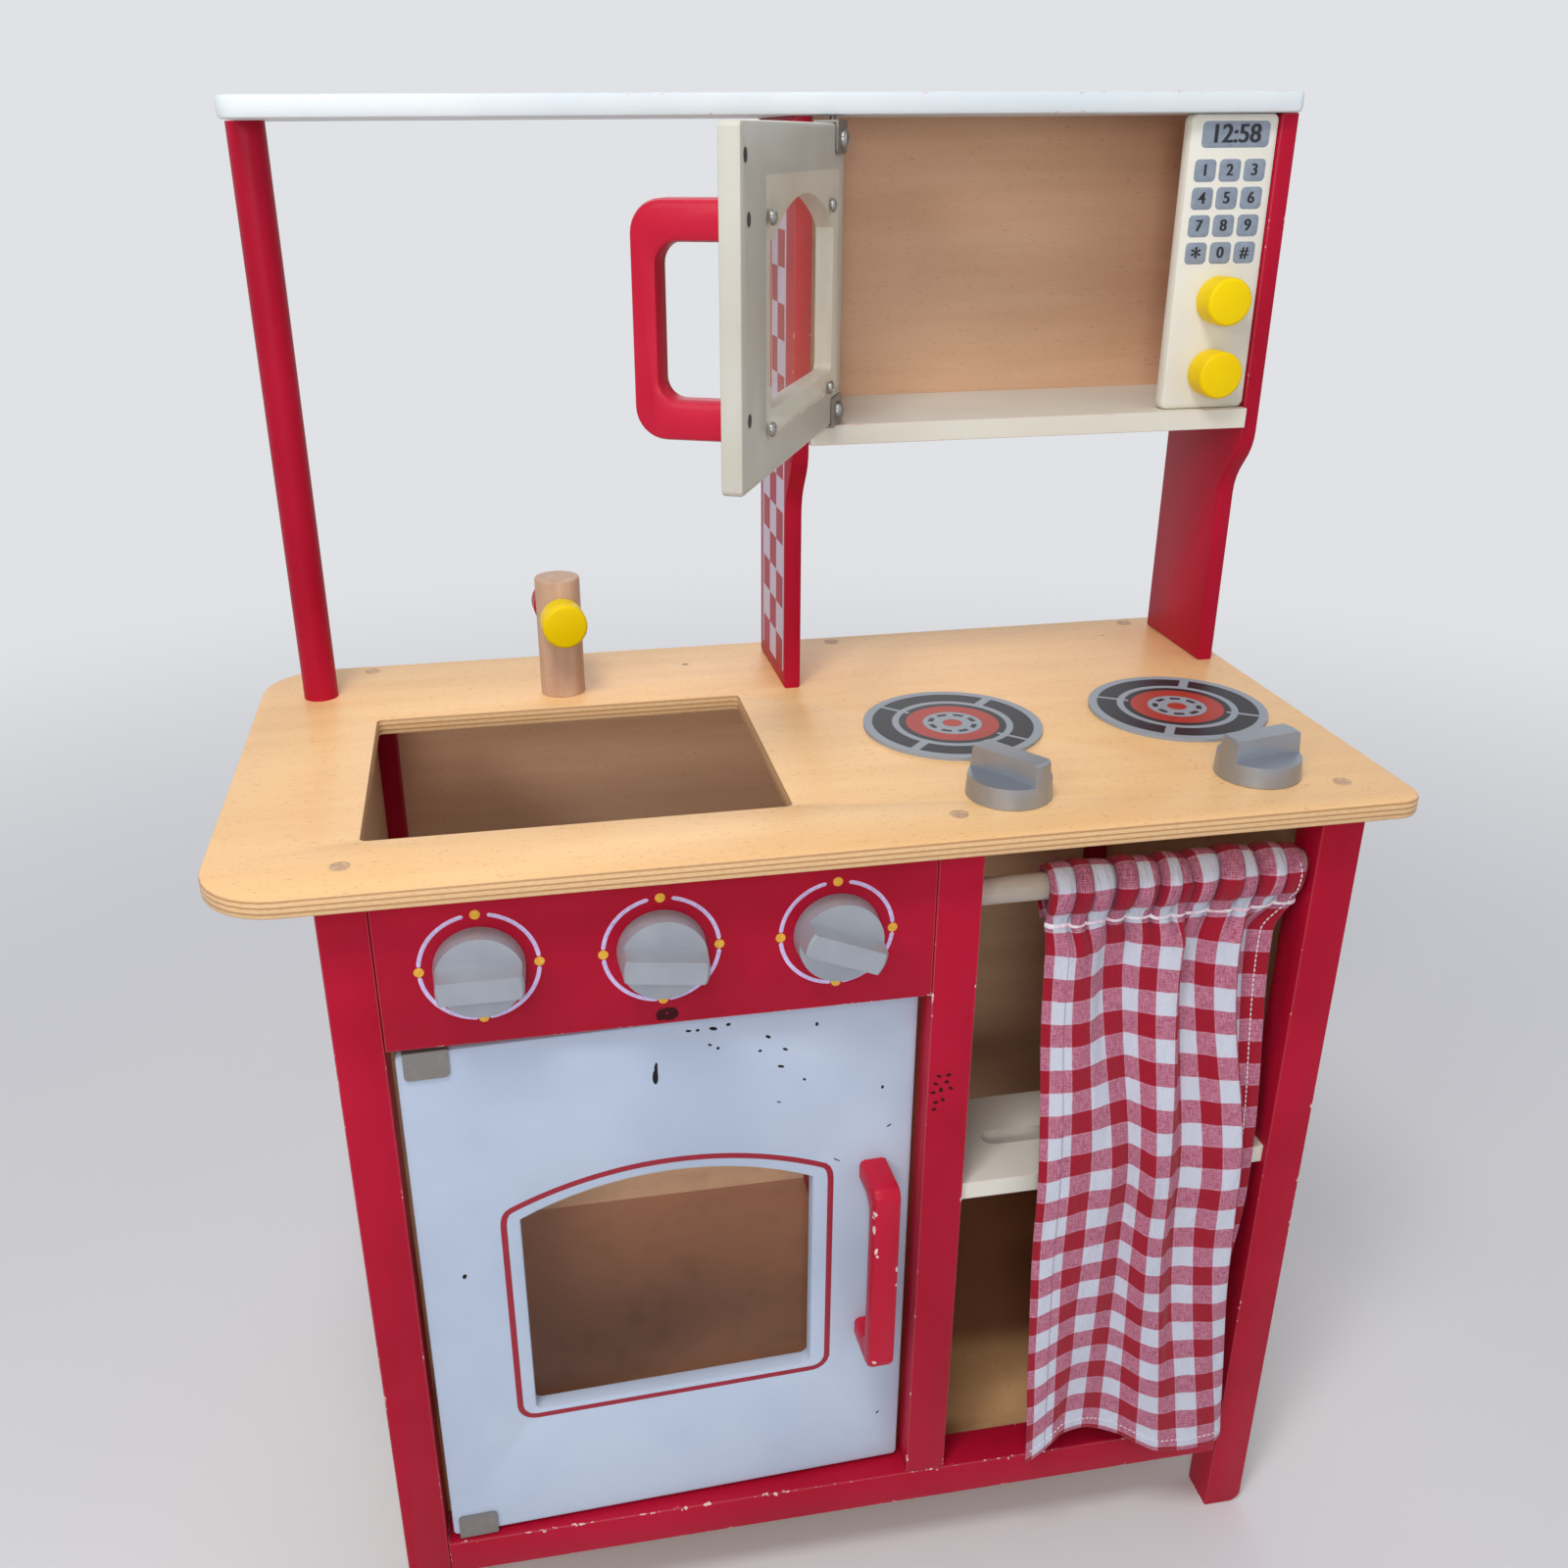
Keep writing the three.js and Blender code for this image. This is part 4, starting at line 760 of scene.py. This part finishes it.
def fasteners():
    """Screws on the panes and clips of both doors, and the filled holes in the worktop."""
    steel = screw_steel()
    for door, face, pane, clips, clip_head in (
            ("microwave_door", MICROWAVE_INNER, MICROWAVE_PANE_SCREWS, MICROWAVE_CLIP_SCREWS, 5.0),
            ("oven_door", OVEN_INNER, OVEN_PANE_SCREWS, OVEN_CLIP_SCREWS, 4.2)):
        heads = [screw(face, across, z, PANE_HEAD, turn, PANE_LIFT) for across, z, turn in pane]
        heads += [screw(face, across, z, clip_head, turn, CLIP_LIFT) for across, z, turn in clips]
        piece(f"{door}_screws", heads, steel, door)
    # Dark discs over the microwave door's bored holes: painted shade in the holes
    hole_shade_discs = [spun(MICROWAVE_INNER, across, z, HOLE_PROFILE) for across, z in SUNK_HOLES]
    dark = printed("hole_painted_shade", tint(58, 46, 42), tint(44, 36, 34), 0.7)
    piece("microwave_door_hole_shade", hole_shade_discs, dark, "microwave_door")
    plugs = [spun(TOP, x, y, PLUG_PROFILE) for x in (-236, 62, 268) for y in (12.5, 285)]
    filler = printed("wood_filler", tint(214, 180, 146), tint(176, 140, 110), 0.6, 3.0)
    piece("worktop_plugs", plugs, filler, "cabinet")


# Cloth
def through(keys, values, at):
    """A smooth curve through points that doesn't overshoot them: cubics between the keys, whose slopes are
    the harmonic mean of the slopes at both sides, or 0 where these differ in sign."""
    keys, values = np.array(keys, float), np.array(values, float)
    gap, rise = np.diff(keys), np.diff(values) / np.diff(keys)
    same = rise[:-1] * rise[1:] > 0
    inner = np.where(same, 2 * rise[:-1] * rise[1:] / np.where(same, rise[:-1] + rise[1:], 1), 0)
    slope = np.concatenate([[rise[0]], inner, [rise[-1]]])
    i = np.clip(np.searchsorted(keys, at, side="right") - 1, 0, len(gap) - 1)
    t = (at - keys[i]) / gap[i]
    return ((2 * t ** 3 - 3 * t ** 2 + 1) * values[i] + (t ** 3 - 2 * t ** 2 + t) * gap[i] * slope[i]
            + (3 * t ** 2 - 2 * t ** 3) * values[i + 1] + (t ** 3 - t ** 2) * gap[i] * slope[i + 1])


# How far across the cloth its cells end, and there, at three heights, how far right and back the cloth is.
# The hem has its own heights too.
CLOTH_WIDTH, COLUMNS, ROWS, HEAD_ROWS = 207.6, 421, 261, 97
ACROSS = [0, *(6 + CELL_WIDE * np.arange(15))]
ROD_DEPTH, ROD_HEIGHT, HANGS_BELOW = 15, 463.7, 20
SEAM_HEIGHT, SEAM_DEPTH, SEAM_LEFT, SEAM_RIGHT = ROD_HEIGHT - HANGS_BELOW, 10.2, 111, 249.8
TOP_HEIGHT, TOP_X, TOP_Y = 426, [
    112, 117, 127, 137, 146.5, 158, 166, 175, 185.5, 191, 197.8, 206.4, 216.6, 221, 228, 241], [
    9, 7.5, 3.3, 5.4, 12.4, 13.6, 10.4, 6.6, 2.9, 13.4, 9.8, 5.0, 1.2, 12.5, 14.0, 11.0]
MIDDLE_HEIGHT, MIDDLE_X, MIDDLE_Y = 273, [
    112.8, 117, 130.5, 143, 156, 167, 172.5, 178.6, 187, 197, 209, 219.5, 229.5, 232, 231, 243], [
    -7.8, -9.4, -10.3, -9.4, -8.2, -4.6, -8.8, -15.4, -15.6, -8.0, -10.0, -14.0, -15.4, -6.0, -2.4, -2.2]
HEM_X = [118.5, 122.5, 135.5, 145, 157, 169, 181.5, 193, 206, 218, 232, 243.5, 248.5, 243, 234, 228]
HEM_Y = [-15, -14.4, -12, -7.5, -4.4, -3.4, -4.4, -8, -12, -13.5, -12.5, -11.5, -8.6, -5.0, -3.6, -3.0]
HEM_Z = [84.9, 86.2, 94.5, 96.8, 95.4, 91, 85, 78.8, 74, 73.6, 72.4, 73.6, 75.5, 80, 84, 86]


def curtain_cloth():
    """The hanging part, as points on a grid. Across, x and y follow the tables through a smooth curve; down,
    they pass from the seam over the top and middle rows to the hem on a smooth curve too. Small gathers
    spread out of the seam and fade within a hand's width."""
    across, down = np.linspace(0, CLOTH_WIDTH, COLUMNS), np.linspace(0, 1, ROWS)
    top_x, top_y, middle_x, middle_y, hem_x, hem_y, hem_z = (
        through(ACROSS, row, across) for row in (TOP_X, TOP_Y, MIDDLE_X, MIDDLE_Y, HEM_X, HEM_Y, HEM_Z))
    seam_x = SEAM_LEFT + (SEAM_RIGHT - SEAM_LEFT) * across / CLOTH_WIDTH
    seam_y = SEAM_DEPTH + 0.25 * (top_y - top_y.mean())
    mean_hem = np.mean(HEM_Z)
    level = SEAM_HEIGHT + (mean_hem - SEAM_HEIGHT) * down
    heights = [mean_hem, MIDDLE_HEIGHT, TOP_HEIGHT, SEAM_HEIGHT]
    weights = np.stack([through(heights, row, level) for row in np.eye(len(heights))])
    weights /= weights.sum(0)
    x = np.einsum("kr,kc->rc", weights, np.stack([hem_x, middle_x, top_x, seam_x]))
    y = np.einsum("kr,kc->rc", weights, np.stack([hem_y, middle_y, top_y, seam_y]))
    z = level[:, None] + (hem_z - mean_hem) * (down[:, None] ** 1.6)
    rise, ahead, _ = gather_wave(across)
    fade = np.exp(-(SEAM_HEIGHT - level) / GATHER_FADE)[:, None]
    y -= fade * 2.2 * rise
    x += fade * 0.7 * ahead
    z -= fade ** 2 * (0.9 * rise - 0.5)
    # Creases that wander down the cloth, all under a millimetre deep
    u, v = across, level[:, None]
    y += 0.42 * np.sin(u / 9.0 + 2.2 * np.sin(v / 41.0)) * np.sin(v / 27.0 + u / 33.0)
    y += 0.25 * np.sin(u / 4.1 - v / 13.0 + 1.7 * np.sin(u / 21.0))
    return across, level, x, y, z


# How wide each gathered bunch is in the cloth, how far it stands out, and how far right its crest leans
GATHER_WIDTHS = [18, 13, 20, 14, 21, 16, 12, 19, 22, 14, 21, 17.6]
GATHER_RISES = [0.85, 1.0, 0.75, 1.1, 0.9, 1.15, 0.8, 1.0, 1.15, 0.85, 1.1, 0.9]
GATHER_LEANS = [0.5, 2.0, -1.5, 4.0, 0.5, 3.5, -2.0, 1.5, 4.5, -1.5, 3.0, 0.0]
GATHER_ENDS = np.cumsum([0] + GATHER_WIDTHS)
# How far down the gathers fade, the pocket's half thickness, and how much deeper and higher a bunch makes it
GATHER_FADE, POCKET_HALF, BUNCH_DEEP, BUNCH_HIGH = 20.0, 8.0, 7.0, 4.0


def gather_wave(across):
    """Rounded bunches between sharp creases: in each the height is a half sine to the power 0.7. Also gives
    how far x runs ahead there, a full sine, so that the walls of a crease are steep, and the lean."""
    i = np.clip(np.searchsorted(GATHER_ENDS, across, side="right") - 1, 0, len(GATHER_ENDS) - 2)
    share = np.clip((across - GATHER_ENDS[i]) / (GATHER_ENDS[i + 1] - GATHER_ENDS[i]), 0, 1)
    rise = np.abs(np.sin(math.pi * share)) ** 0.7 * np.array(GATHER_RISES)[i]
    middles = (GATHER_ENDS[1:] + GATHER_ENDS[:-1]) / 2
    lean = through(middles, GATHER_LEANS, np.clip(across, middles[0], middles[-1]))
    return rise, -np.sin(2 * math.pi * share), lean


def curtain_header(across, seam_x, seam_y, seam_z):
    """The gathered pocket round the rod: from the seam up its front, over the rod and down its back to the
    seam again. Its section is an oval, and each bunch stands out of it by a share of the wave. Also gives
    how slack the cloth is at each turn."""
    turn = np.linspace(-math.pi / 2, 1.5 * math.pi, HEAD_ROWS)[1:]
    rise, ahead, lean = gather_wave(across)
    lift, forward = np.sin(turn)[:, None], np.cos(turn)[:, None]
    loose = np.clip((1 + lift) / 0.5, 0, 1)
    loose = loose * loose * (3 - 2 * loose)
    slack = loose * np.where(lift < 0, 1.0, 1 - 0.5 * lift)
    crease = 0.5 * np.sin(across / 1.9 + 2.0 * lift) * slack
    depth = POCKET_HALF + (BUNCH_DEEP * rise + crease) * slack
    high = np.where(lift > 0, POCKET_HALF + BUNCH_HIGH * rise * loose, HANGS_BELOW)
    x = seam_x + 1.5 * ahead * loose + lean * np.clip(0.4 + 0.6 * lift, -0.5, 1) * loose
    y = ROD_DEPTH - depth * forward * np.clip(0.45 + 0.55 * loose, 0, 1)
    y += (seam_y - ROD_DEPTH) * (1 - loose) * np.where(forward > 0, 1, -0.35)
    z = ROD_HEIGHT + high * lift + 0.8 * np.sin(across / 19.0) * np.clip(lift, 0, 1)
    z += (seam_z - SEAM_HEIGHT) * (1 - loose)
    return x, y, z, slack[:, 0]


def within(far, reach, soft):
    """1 nearer than reach and 0 beyond it, by one over one plus an exponential."""
    return 1 / (1 + np.exp(np.clip((far - reach) / soft, -60, 60)))


SIDE_HEM, BOTTOM_HEM, HEM_THICKNESS = 6.0, 9.0, 0.55
CLOTH_THICKNESS = 0.7
# How far to either side of a crease its painted shade reaches
CREASE_SHADE_WIDTH = 4.4


def curtain():
    """One cloth from its hem to the seam and on round the rod, with its own map in millimetres."""
    across, level, x, y, z = curtain_cloth()
    head_x, head_y, head_z, slack = curtain_header(across, x[0], y[0], z[0])
    halves = (x, head_x), (y, head_y), (z, head_z)
    points = np.stack([np.concatenate([hanging[::-1], head]) for hanging, head in halves], axis=-1)
    step = np.median(np.linalg.norm(np.diff(points, axis=0), axis=-1), axis=1)
    run = np.concatenate([[0], np.cumsum(step)])
    # The side hems and the bottom hem are folded double, so they stand forward by the cloth's thickness
    seam_row = len(level) - 1
    side_hem = within(across, HEM_FOLD, 0.3) + within(CLOTH_WIDTH - across, SIDE_HEM, 0.35)
    hem = np.maximum(side_hem, within(run, BOTTOM_HEM, 0.35)[:, None])
    hem[seam_row + 1:] = 0
    points[..., 1] -= HEM_THICKNESS * hem
    rows, columns = hem.shape
    mesh = grid_mesh("curtain_cloth", points.reshape(-1, 3), grid_faces(rows, columns))
    u, v = (flat.reshape(-1) for flat in np.broadcast_arrays(across, run[:, None] - run[seam_row]))
    corner = np.empty(len(mesh.loops), dtype=np.int32)
    mesh.loops.foreach_get("vertex_index", corner)
    mesh.uv_layers.new(name="cloth_mm").data.foreach_set(
        "uv", np.stack([u[corner] * MM, v[corner] * MM], axis=-1).reshape(-1))
    # How much painted shade each point gets in a crease: most at the gathers' ends, and only near the seam and
    # above it
    crease_shade = np.exp(-(np.abs(across[:, None] - GATHER_ENDS[1:-1]).min(1) / CREASE_SHADE_WIDTH) ** 2)
    depth = np.concatenate([np.exp(-(SEAM_HEIGHT - level) / 9.0)[::-1] * 0.7, 0.25 + 0.75 * slack])
    mesh.attributes.new("crease", "FLOAT", "POINT").data.foreach_set(
        "value", (depth[:, None] * crease_shade).reshape(-1))
    mesh.polygons.foreach_set("use_smooth", np.ones(len(mesh.polygons), dtype=bool))
    made = hang("curtain_cloth", mesh, gingham(), "curtain")
    solid = made.modifiers.new("thickness", "SOLIDIFY")
    solid.thickness = CLOTH_THICKNESS * MM
    solid.offset = 0.0
    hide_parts("curtain")
    thread = [stitches(points, across, run, seam_row), seam_tape(points[seam_row, 1:-1], across[1:-1])]


def stitches(points, across, run, seam_row):
    """Rows of thread on the cloth: each stitch is a short six-sided spindle laid between two points of the
    cloth, a little in front of it."""
    column = np.argmin(abs(across - (CLOTH_WIDTH - 7.0)))
    bottom = np.argmin(abs(run - 8.2))
    angle = full_turn(6)[:, None]
    spindle = np.array([0.0, 0.85, 1.0, 0.85, 0.0])
    lines = []
    for path, length, gap, radius, lift in ((points[8:seam_row + 34, column], 2.6, 0.35, 0.42, 0.5),
                                            (points[bottom, 4:330], 2.3, 0.8, 0.36, 0.55)):
        far = lengths_along(path)
        for start in np.arange(1.0, far[-1] - length, length + gap):
            at = start + length * np.linspace(0, 1, len(spindle))
            line = np.stack([np.interp(at, far, path[:, k]) for k in range(3)], axis=-1) - (0, lift, 0)
            ahead = line[-1] - line[0]
            ahead /= np.linalg.norm(ahead)
            side = np.cross(ahead, (0, 1, 0.1))
            side /= np.linalg.norm(side)
            ring = line[:, None, :] + radius * spindle[:, None, None] * (
                np.cos(angle) * side + np.sin(angle) * np.cross(side, ahead))
            lines.append((ring.reshape(-1, 3), grid_faces(len(spindle), 6, wrap_columns=True)))
    thread = printed("white_thread", tint(236, 236, 242), tint(218, 216, 228), 0.8, 0.4)
    return piece("curtain_stitches", lines, thread, "curtain")


def seam_tape(path, across):
    """The tape over the seam: a low arch along the cloth's front, pinched into the creases with it."""
    ahead = np.gradient(path, axis=0)
    out = np.stack([ahead[:, 1], -ahead[:, 0], 0 * ahead[:, 2]], axis=-1)
    out /= np.linalg.norm(out, axis=1, keepdims=True)
    turn = full_turn(10)
    high = 1.5 + 0.25 * np.sin(across / 2.3)
    ring = path[:, None] + out[:, None] * (0.4 + 0.9 * np.sin(turn))[:, None]
    ring[..., 2] += high[:, None] * np.cos(turn)
    shell = ring.reshape(-1, 3), grid_faces(len(path), len(turn), wrap_columns=True)
    tape = printed("seam_thread", tint(240, 240, 246), tint(222, 170, 186), 0.8, 5.0)
    return piece("curtain_seam_tape", [shell], tape, "curtain")


# The frame's pieces: shading, and a finish for each
def soft_edges(name, limit):
    """A node group that shades edges smooth where their faces meet at less than a limit in degrees."""
    group = bpy.data.node_groups.new(name, "GeometryNodeTree")
    for way in ("INPUT", "OUTPUT"):
        group.interface.new_socket("Geometry", in_out=way, socket_type="NodeSocketGeometry")
    tree = Nodes(group)
    angle = tree.node("GeometryNodeInputMeshEdgeAngle")
    shallow = tree.node("FunctionNodeCompare", {0: angle, 1: math.radians(limit)}, data_type="FLOAT",
                        operation="LESS_THAN")
    faces = tree.node("GeometryNodeSetShadeSmooth", {0: tree.node("NodeGroupInput")}, domain="FACE")
    edges = tree.node("GeometryNodeSetShadeSmooth", {0: faces, "Shade Smooth": shallow}, domain="EDGE")
    tree.make("NodeGroupOutput", {0: edges})
    return group


def smooth_frame():
    """Gives the frame's pieces soft shading over shallow angles, after their doubled points are welded. The
    silver knobs keep every edge of their grips crisp."""
    soft, crisp = soft_edges("soft_edges", 32), soft_edges("crisp_edges", 14)
    for name, node in nodes.items():
        weld = node.modifiers.new("weld", "WELD")
        weld.merge_threshold = 0.004 * MM
        silver = name.startswith(("oven_knob", "hob_knob")) and not name.endswith("_shaft")
        node.modifiers.new("shading", "NODES").node_group = crisp if silver else soft


def dress(material, *names):
    """Gives some of the frame's pieces a finish."""
    for name in names:
        slots = nodes[name].data.materials
        slots.clear()
        slots.append(material)


def dress_red(name, wear=1.0, whole=0.48, spots=(), ragged=1.2):
    dress(painted(f"red_{name}", RED, RED_SHADE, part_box(name), wear, spots=spots, ragged=ragged,
                  spot_colour=tint(62, 12, 20), whole=whole), name)


# The red boards, with how deep their edges are worn and the level of the noise at which chips begin
RED_BOARDS = (
    ("leg_front_left", 0.8, 0.46), ("leg_front_right", 0.8, 0.46), ("leg_back_left", 0.8, 0.5),
    ("leg_back_right", 0.8, 0.5), ("back_post", 0.5, 0.5), ("bottom_rail", 0.9, 0.38),
    ("upright_middle", 0.8, 0.48), ("upright_right", 0.8, 0.48))
# Marks on the paint: where the middle of each is, its half width and half height, and its turn in degrees
STILE_SPECKS = (
    (55.2, 363.6, 20), (60.5, 363.5, 0), (53.8, 358.7, 40), (59.7, 359.2, 10), (52.5, 353.3, 0),
    (56.7, 354.6, 70), (62.1, 355.1, 30), (54.4, 346.7, 15), (58.1, 348.1, 60), (53.5, 342.4, 0))
PANEL_SMUDGE = ((-90.4, 419.4, 2.6, 3.6, 10), (-87.0, 417.6, 3.6, 2.0, 0), (-84.4, 420, 2.2, 3.2, -20),
                (-87.5, 422, 2.6, 1.2, 0))
HANDLE_CHIPS = (
    (18.2, -17, 291, 1.4, 1.6, 0), (17.6, -16, 288, 1.0, 0.8, 0), (18.0, -17, 280, 0.9, 3.4, 0),
    (19.6, -17, 266, 0.8, 2.2, 10), (20.4, -17, 262.5, 0.8, 1.0, 0), (32, -17, 251, 0.8, 2.0, 0),
    (32, -17, 240, 0.7, 1.0, 0), (21, -17, 186, 1.5, 0.9, 40), (24, -17, 179.5, 2.2, 0.8, 0))
DOOR_SPOTS = (
    (-93.8, 377.2, 1.5, 4.6, 0), (-93.4, 381.5, 0.9, 4.6, 4), (-63.3, 402.1, 2.3, 1.1, 20),
    (-55.4, 403.5, 1.3, 0.9, 0), (-76.1, 402.6, 1.5, 0.7, 10), (-71.4, 402.3, 1.0, 0.8, 0),
    (-34.6, 392.9, 1.6, 0.9, 35), (-38.8, 384.9, 1.0, 0.8, 0), (-25.4, 383.9, 1.5, 0.8, 30),
    (-27.6, 373.5, 1.9, 0.8, 20), (-15, 363.3, 1.0, 0.7, 40), (-8.8, 397, 0.8, 1.2, 0),
    (-60.9, 389.9, 0.9, 0.9, 0), (-65.1, 392.5, 1.2, 0.6, 30), (-199.4, 266.2, 1.2, 1.7, 10),
    (28.2, 351.7, 0.8, 1.1, 0), (32.7, 325.8, 0.5, 1.6, 60), (-28.7, 351.1, 1.3, 0.4, 20),
    (3.7, 307.6, 2.4, 0.35, 35), (33, 113.7, 0.5, 1.4, 30))


def paint_frame():
    """Red boards with worn edges and their own stains, red and yellow round parts, and the white boards."""
    for name, wear, whole in RED_BOARDS:
        dress_red(name, wear, whole)
    dress_red("front_stile", spots=[((x, 0, z), (1.5, 3, 1.0), turn) for x, z, turn in STILE_SPECKS])
    smudge = [((x, 0, z), (wide, 3, high), turn) for x, z, wide, high, turn in PANEL_SMUDGE]
    dress_red("control_panel", 1.3, spots=smudge, ragged=2.0)
    dress(painted("red_round", RED, RED_SHADE), "post_left", "tap_knob_red")
    dress(painted("red_handles", HANDLE_RED, HANDLE_RED_SHADE, roughness=0.34), "microwave_handle")
    chips = [((x, y, z), (wide, 2.2, high), turn) for x, y, z, wide, high, turn in HANDLE_CHIPS]
    dress(painted("red_oven_handle", HANDLE_RED, HANDLE_RED_SHADE, roughness=0.34, spots=chips,
                  spot_colour=PRIMER, ragged=0.8), "oven_handle")
    dress(painted("yellow_knobs", tint(246, 214, 5), tint(237, 201, 2), roughness=0.36), "tap_knob_yellow",
          "microwave_knob_lower", "microwave_knob_upper")

    # The oven door stands a little inwards, so its front lies deeper the further right it is
    slant = math.tan(math.radians(-OVEN_OPENED))
    front = OVEN_PIVOT[1] - DOOR_THICKNESS / 2
    spots = [((x, front + (x - OVEN_PIVOT[0]) * slant, z), (wide, 9, high), turn)
             for x, z, wide, high, turn in DOOR_SPOTS]
    # The oven door's white is tinted blue and darker than the other white boards: painted cool light and shade
    # on the same white paint
    dress(painted("white_oven_door", tint(190, 204, 224), tint(180, 195, 217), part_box("oven_door"), 0.5, 0.38,
                  spots, tint(34, 26, 28), 0.9), "oven_door")
    # The top board's white is tinted a little blue: painted cool light on the same white paint
    dress(painted("white_top_board", tint(226, 234, 238), tint(216, 226, 233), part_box("top_board"), 0.9),
          "top_board")
    for name, wear in (("cupboard_shelf", 0.6), ("microwave_floor", 0.5), ("keypad_panel", 0.3)):
        dress(painted(f"white_{name}", tint(230, 229, 219), tint(222, 219, 206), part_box(name), wear), name)
    # The microwave door's white is darker than the other white boards: painted shade on the same white paint
    dress(painted("white_microwave_door", tint(202, 201, 191), tint(193, 190, 178)), "microwave_door")


# Woods: tones, the way of the grain, the colour of the flecks, the size of the bands, and the pieces
WOODS = (
    ("beech_upright_grain", (222, 194, 164), (213, 182, 151), UPWARDS, (168, 126, 94), 16.0,
     ("side_panel_left", "side_panel_right", "partition")),
    ("beech_back_panel", (236, 202, 166), (228, 192, 156), ALONG_X, (160, 112, 76), 18.0, ("back_panel",)),
    ("beech_back_board_left", (240, 202, 164), (232, 190, 152), ALONG_X, (170, 122, 86), 12.0,
     ("back_board_left",)),
    ("beech_back_board_right", (240, 202, 164), (232, 190, 152), ALONG_X, (170, 122, 86), 12.0,
     ("back_board_right",)),
    ("beech_tap", (206, 172, 148), (188, 150, 124), UPWARDS, (168, 126, 94), 9.0, ("tap_post", "tap_axle")),
    ("rod_wood", (190, 180, 170), (174, 162, 148), ALONG_X, (150, 134, 114), 9.0, ("curtain_rod",)))


def finish_frame():
    """The frame's wood, metal, silver and clear pieces, and the printed hotplates."""
    dress(worktop_ply(), "worktop")
    for name, light, dark, along, fleck, ring, pieces in WOODS:
        dress(wooden(name, tint(*light), tint(*dark), along, tint(*fleck), ring), *pieces)
    # The floor gets darker towards the back: painted shade for the shadow deep in the oven and cupboard
    dress(wooden("beech_floor", tint(224, 180, 130), tint(216, 170, 121), ALONG_X, tint(120, 80, 54), 18.0,
                 0.1, (tint(168, 118, 86), 92, 120)), "floor_panel")
    dress(satin_silver("silver_oven_knobs", 0.25), "oven_knob_left", "oven_knob_middle", "oven_knob_right")
    dress(satin_silver("silver_hob_knobs", 0.8), "hob_knob_left", "hob_knob_right")
    dress(pressed_steel(), *[name for name in nodes if name.endswith("_shaft") or "hinge" in name])
    dress(clear_pane(), "oven_window", "microwave_window")
    for side, x, turned in (("left", 94.4, -44), ("right", 230.5, -31)):
        dress(hob_print(f"hob_print_{side}", (x, 125, WORKTOP), turned), f"hob_disc_{side}")


# Stage: a pale floor, a pale world that only the camera sees at full strength, and soft lamps. Each lamp has
# its place and size in metres, its power and its colour.
BACKDROP = tint(224, 226, 229)
FLOOR_REACH = 9.0
AIM = Vector((0, 0, 0.45))
LAMPS = (("key", (-0.4, -0.75, 1.9), 0.45, 11.0, (1.0, 0.97, 0.94)),
         ("front", (-0.35, -1.5, 0.95), 0.3, 4.5, (1.0, 0.96, 0.9)),
         ("left", (-1.0, -1.2, 1.3), 0.35, 4.5, (1.0, 0.97, 0.93)),
         ("right", (1.5, -1.0, 1.3), 1.2, 1.6, (1.0, 0.92, 0.82)),
         ("back", (0.3, 1.7, 1.6), 1.4, 5, (0.95, 0.97, 1.0)))


def stage():
    pale = Finish("studio_floor", 0.7)
    # Far from the kitchen the floor glows as the backdrop does, so that no horizon shows
    far_share = pale.vector("LENGTH", pale.where, out=1).step(500, 2300)
    pale.give_over(pale.seen() * far_share, pale.node("ShaderNodeEmission", {"Color": BACKDROP}))
    pale.done(pale.blend(pale.noise(400), tint(226, 227, 230), tint(222, 223, 227)))
    mesh = bpy.data.meshes.new("studio_floor")
    corners = [(x * FLOOR_REACH, y * FLOOR_REACH, 0) for x, y in ((-1, -1), (1, -1), (1, 1), (-1, 1))]
    mesh.from_pydata(corners, [], [(0, 1, 2, 3)])
    mesh.materials.append(pale.material)
    linked("studio_floor", mesh)
    world = bpy.data.worlds.new("studio")
    bpy.context.scene.world = world
    world.use_nodes = True
    world.node_tree.nodes.clear()
    sky = Nodes(world.node_tree)
    light, shown = (sky.node("ShaderNodeBackground", {"Color": colour, "Strength": strength})
                    for colour, strength in ((tint(242, 244, 252), 0.48), (BACKDROP, 1.0)))
    either = sky.node("ShaderNodeMixShader", {0: sky.seen(), 1: light, 2: shown})
    sky.make("ShaderNodeOutputWorld", {0: either})
    for name, where, size, power, colour in LAMPS:
        data = bpy.data.lights.new(name, "AREA")
        data.shape, data.size, data.energy, data.color = "DISK", size, power, colour
        lamp = linked(name, data)
        lamp.location = where
        lamp.rotation_euler = (AIM - Vector(where)).to_track_quat("-Z", "Y").to_euler()
    bpy.context.scene.view_settings.view_transform = "Standard"


smooth_frame()
paint_frame()
finish_frame()
control_panel_print()
oven_window_line()
keypad_print()
checker_strip()
microwave_back()
fasteners()
curtain()
stage()
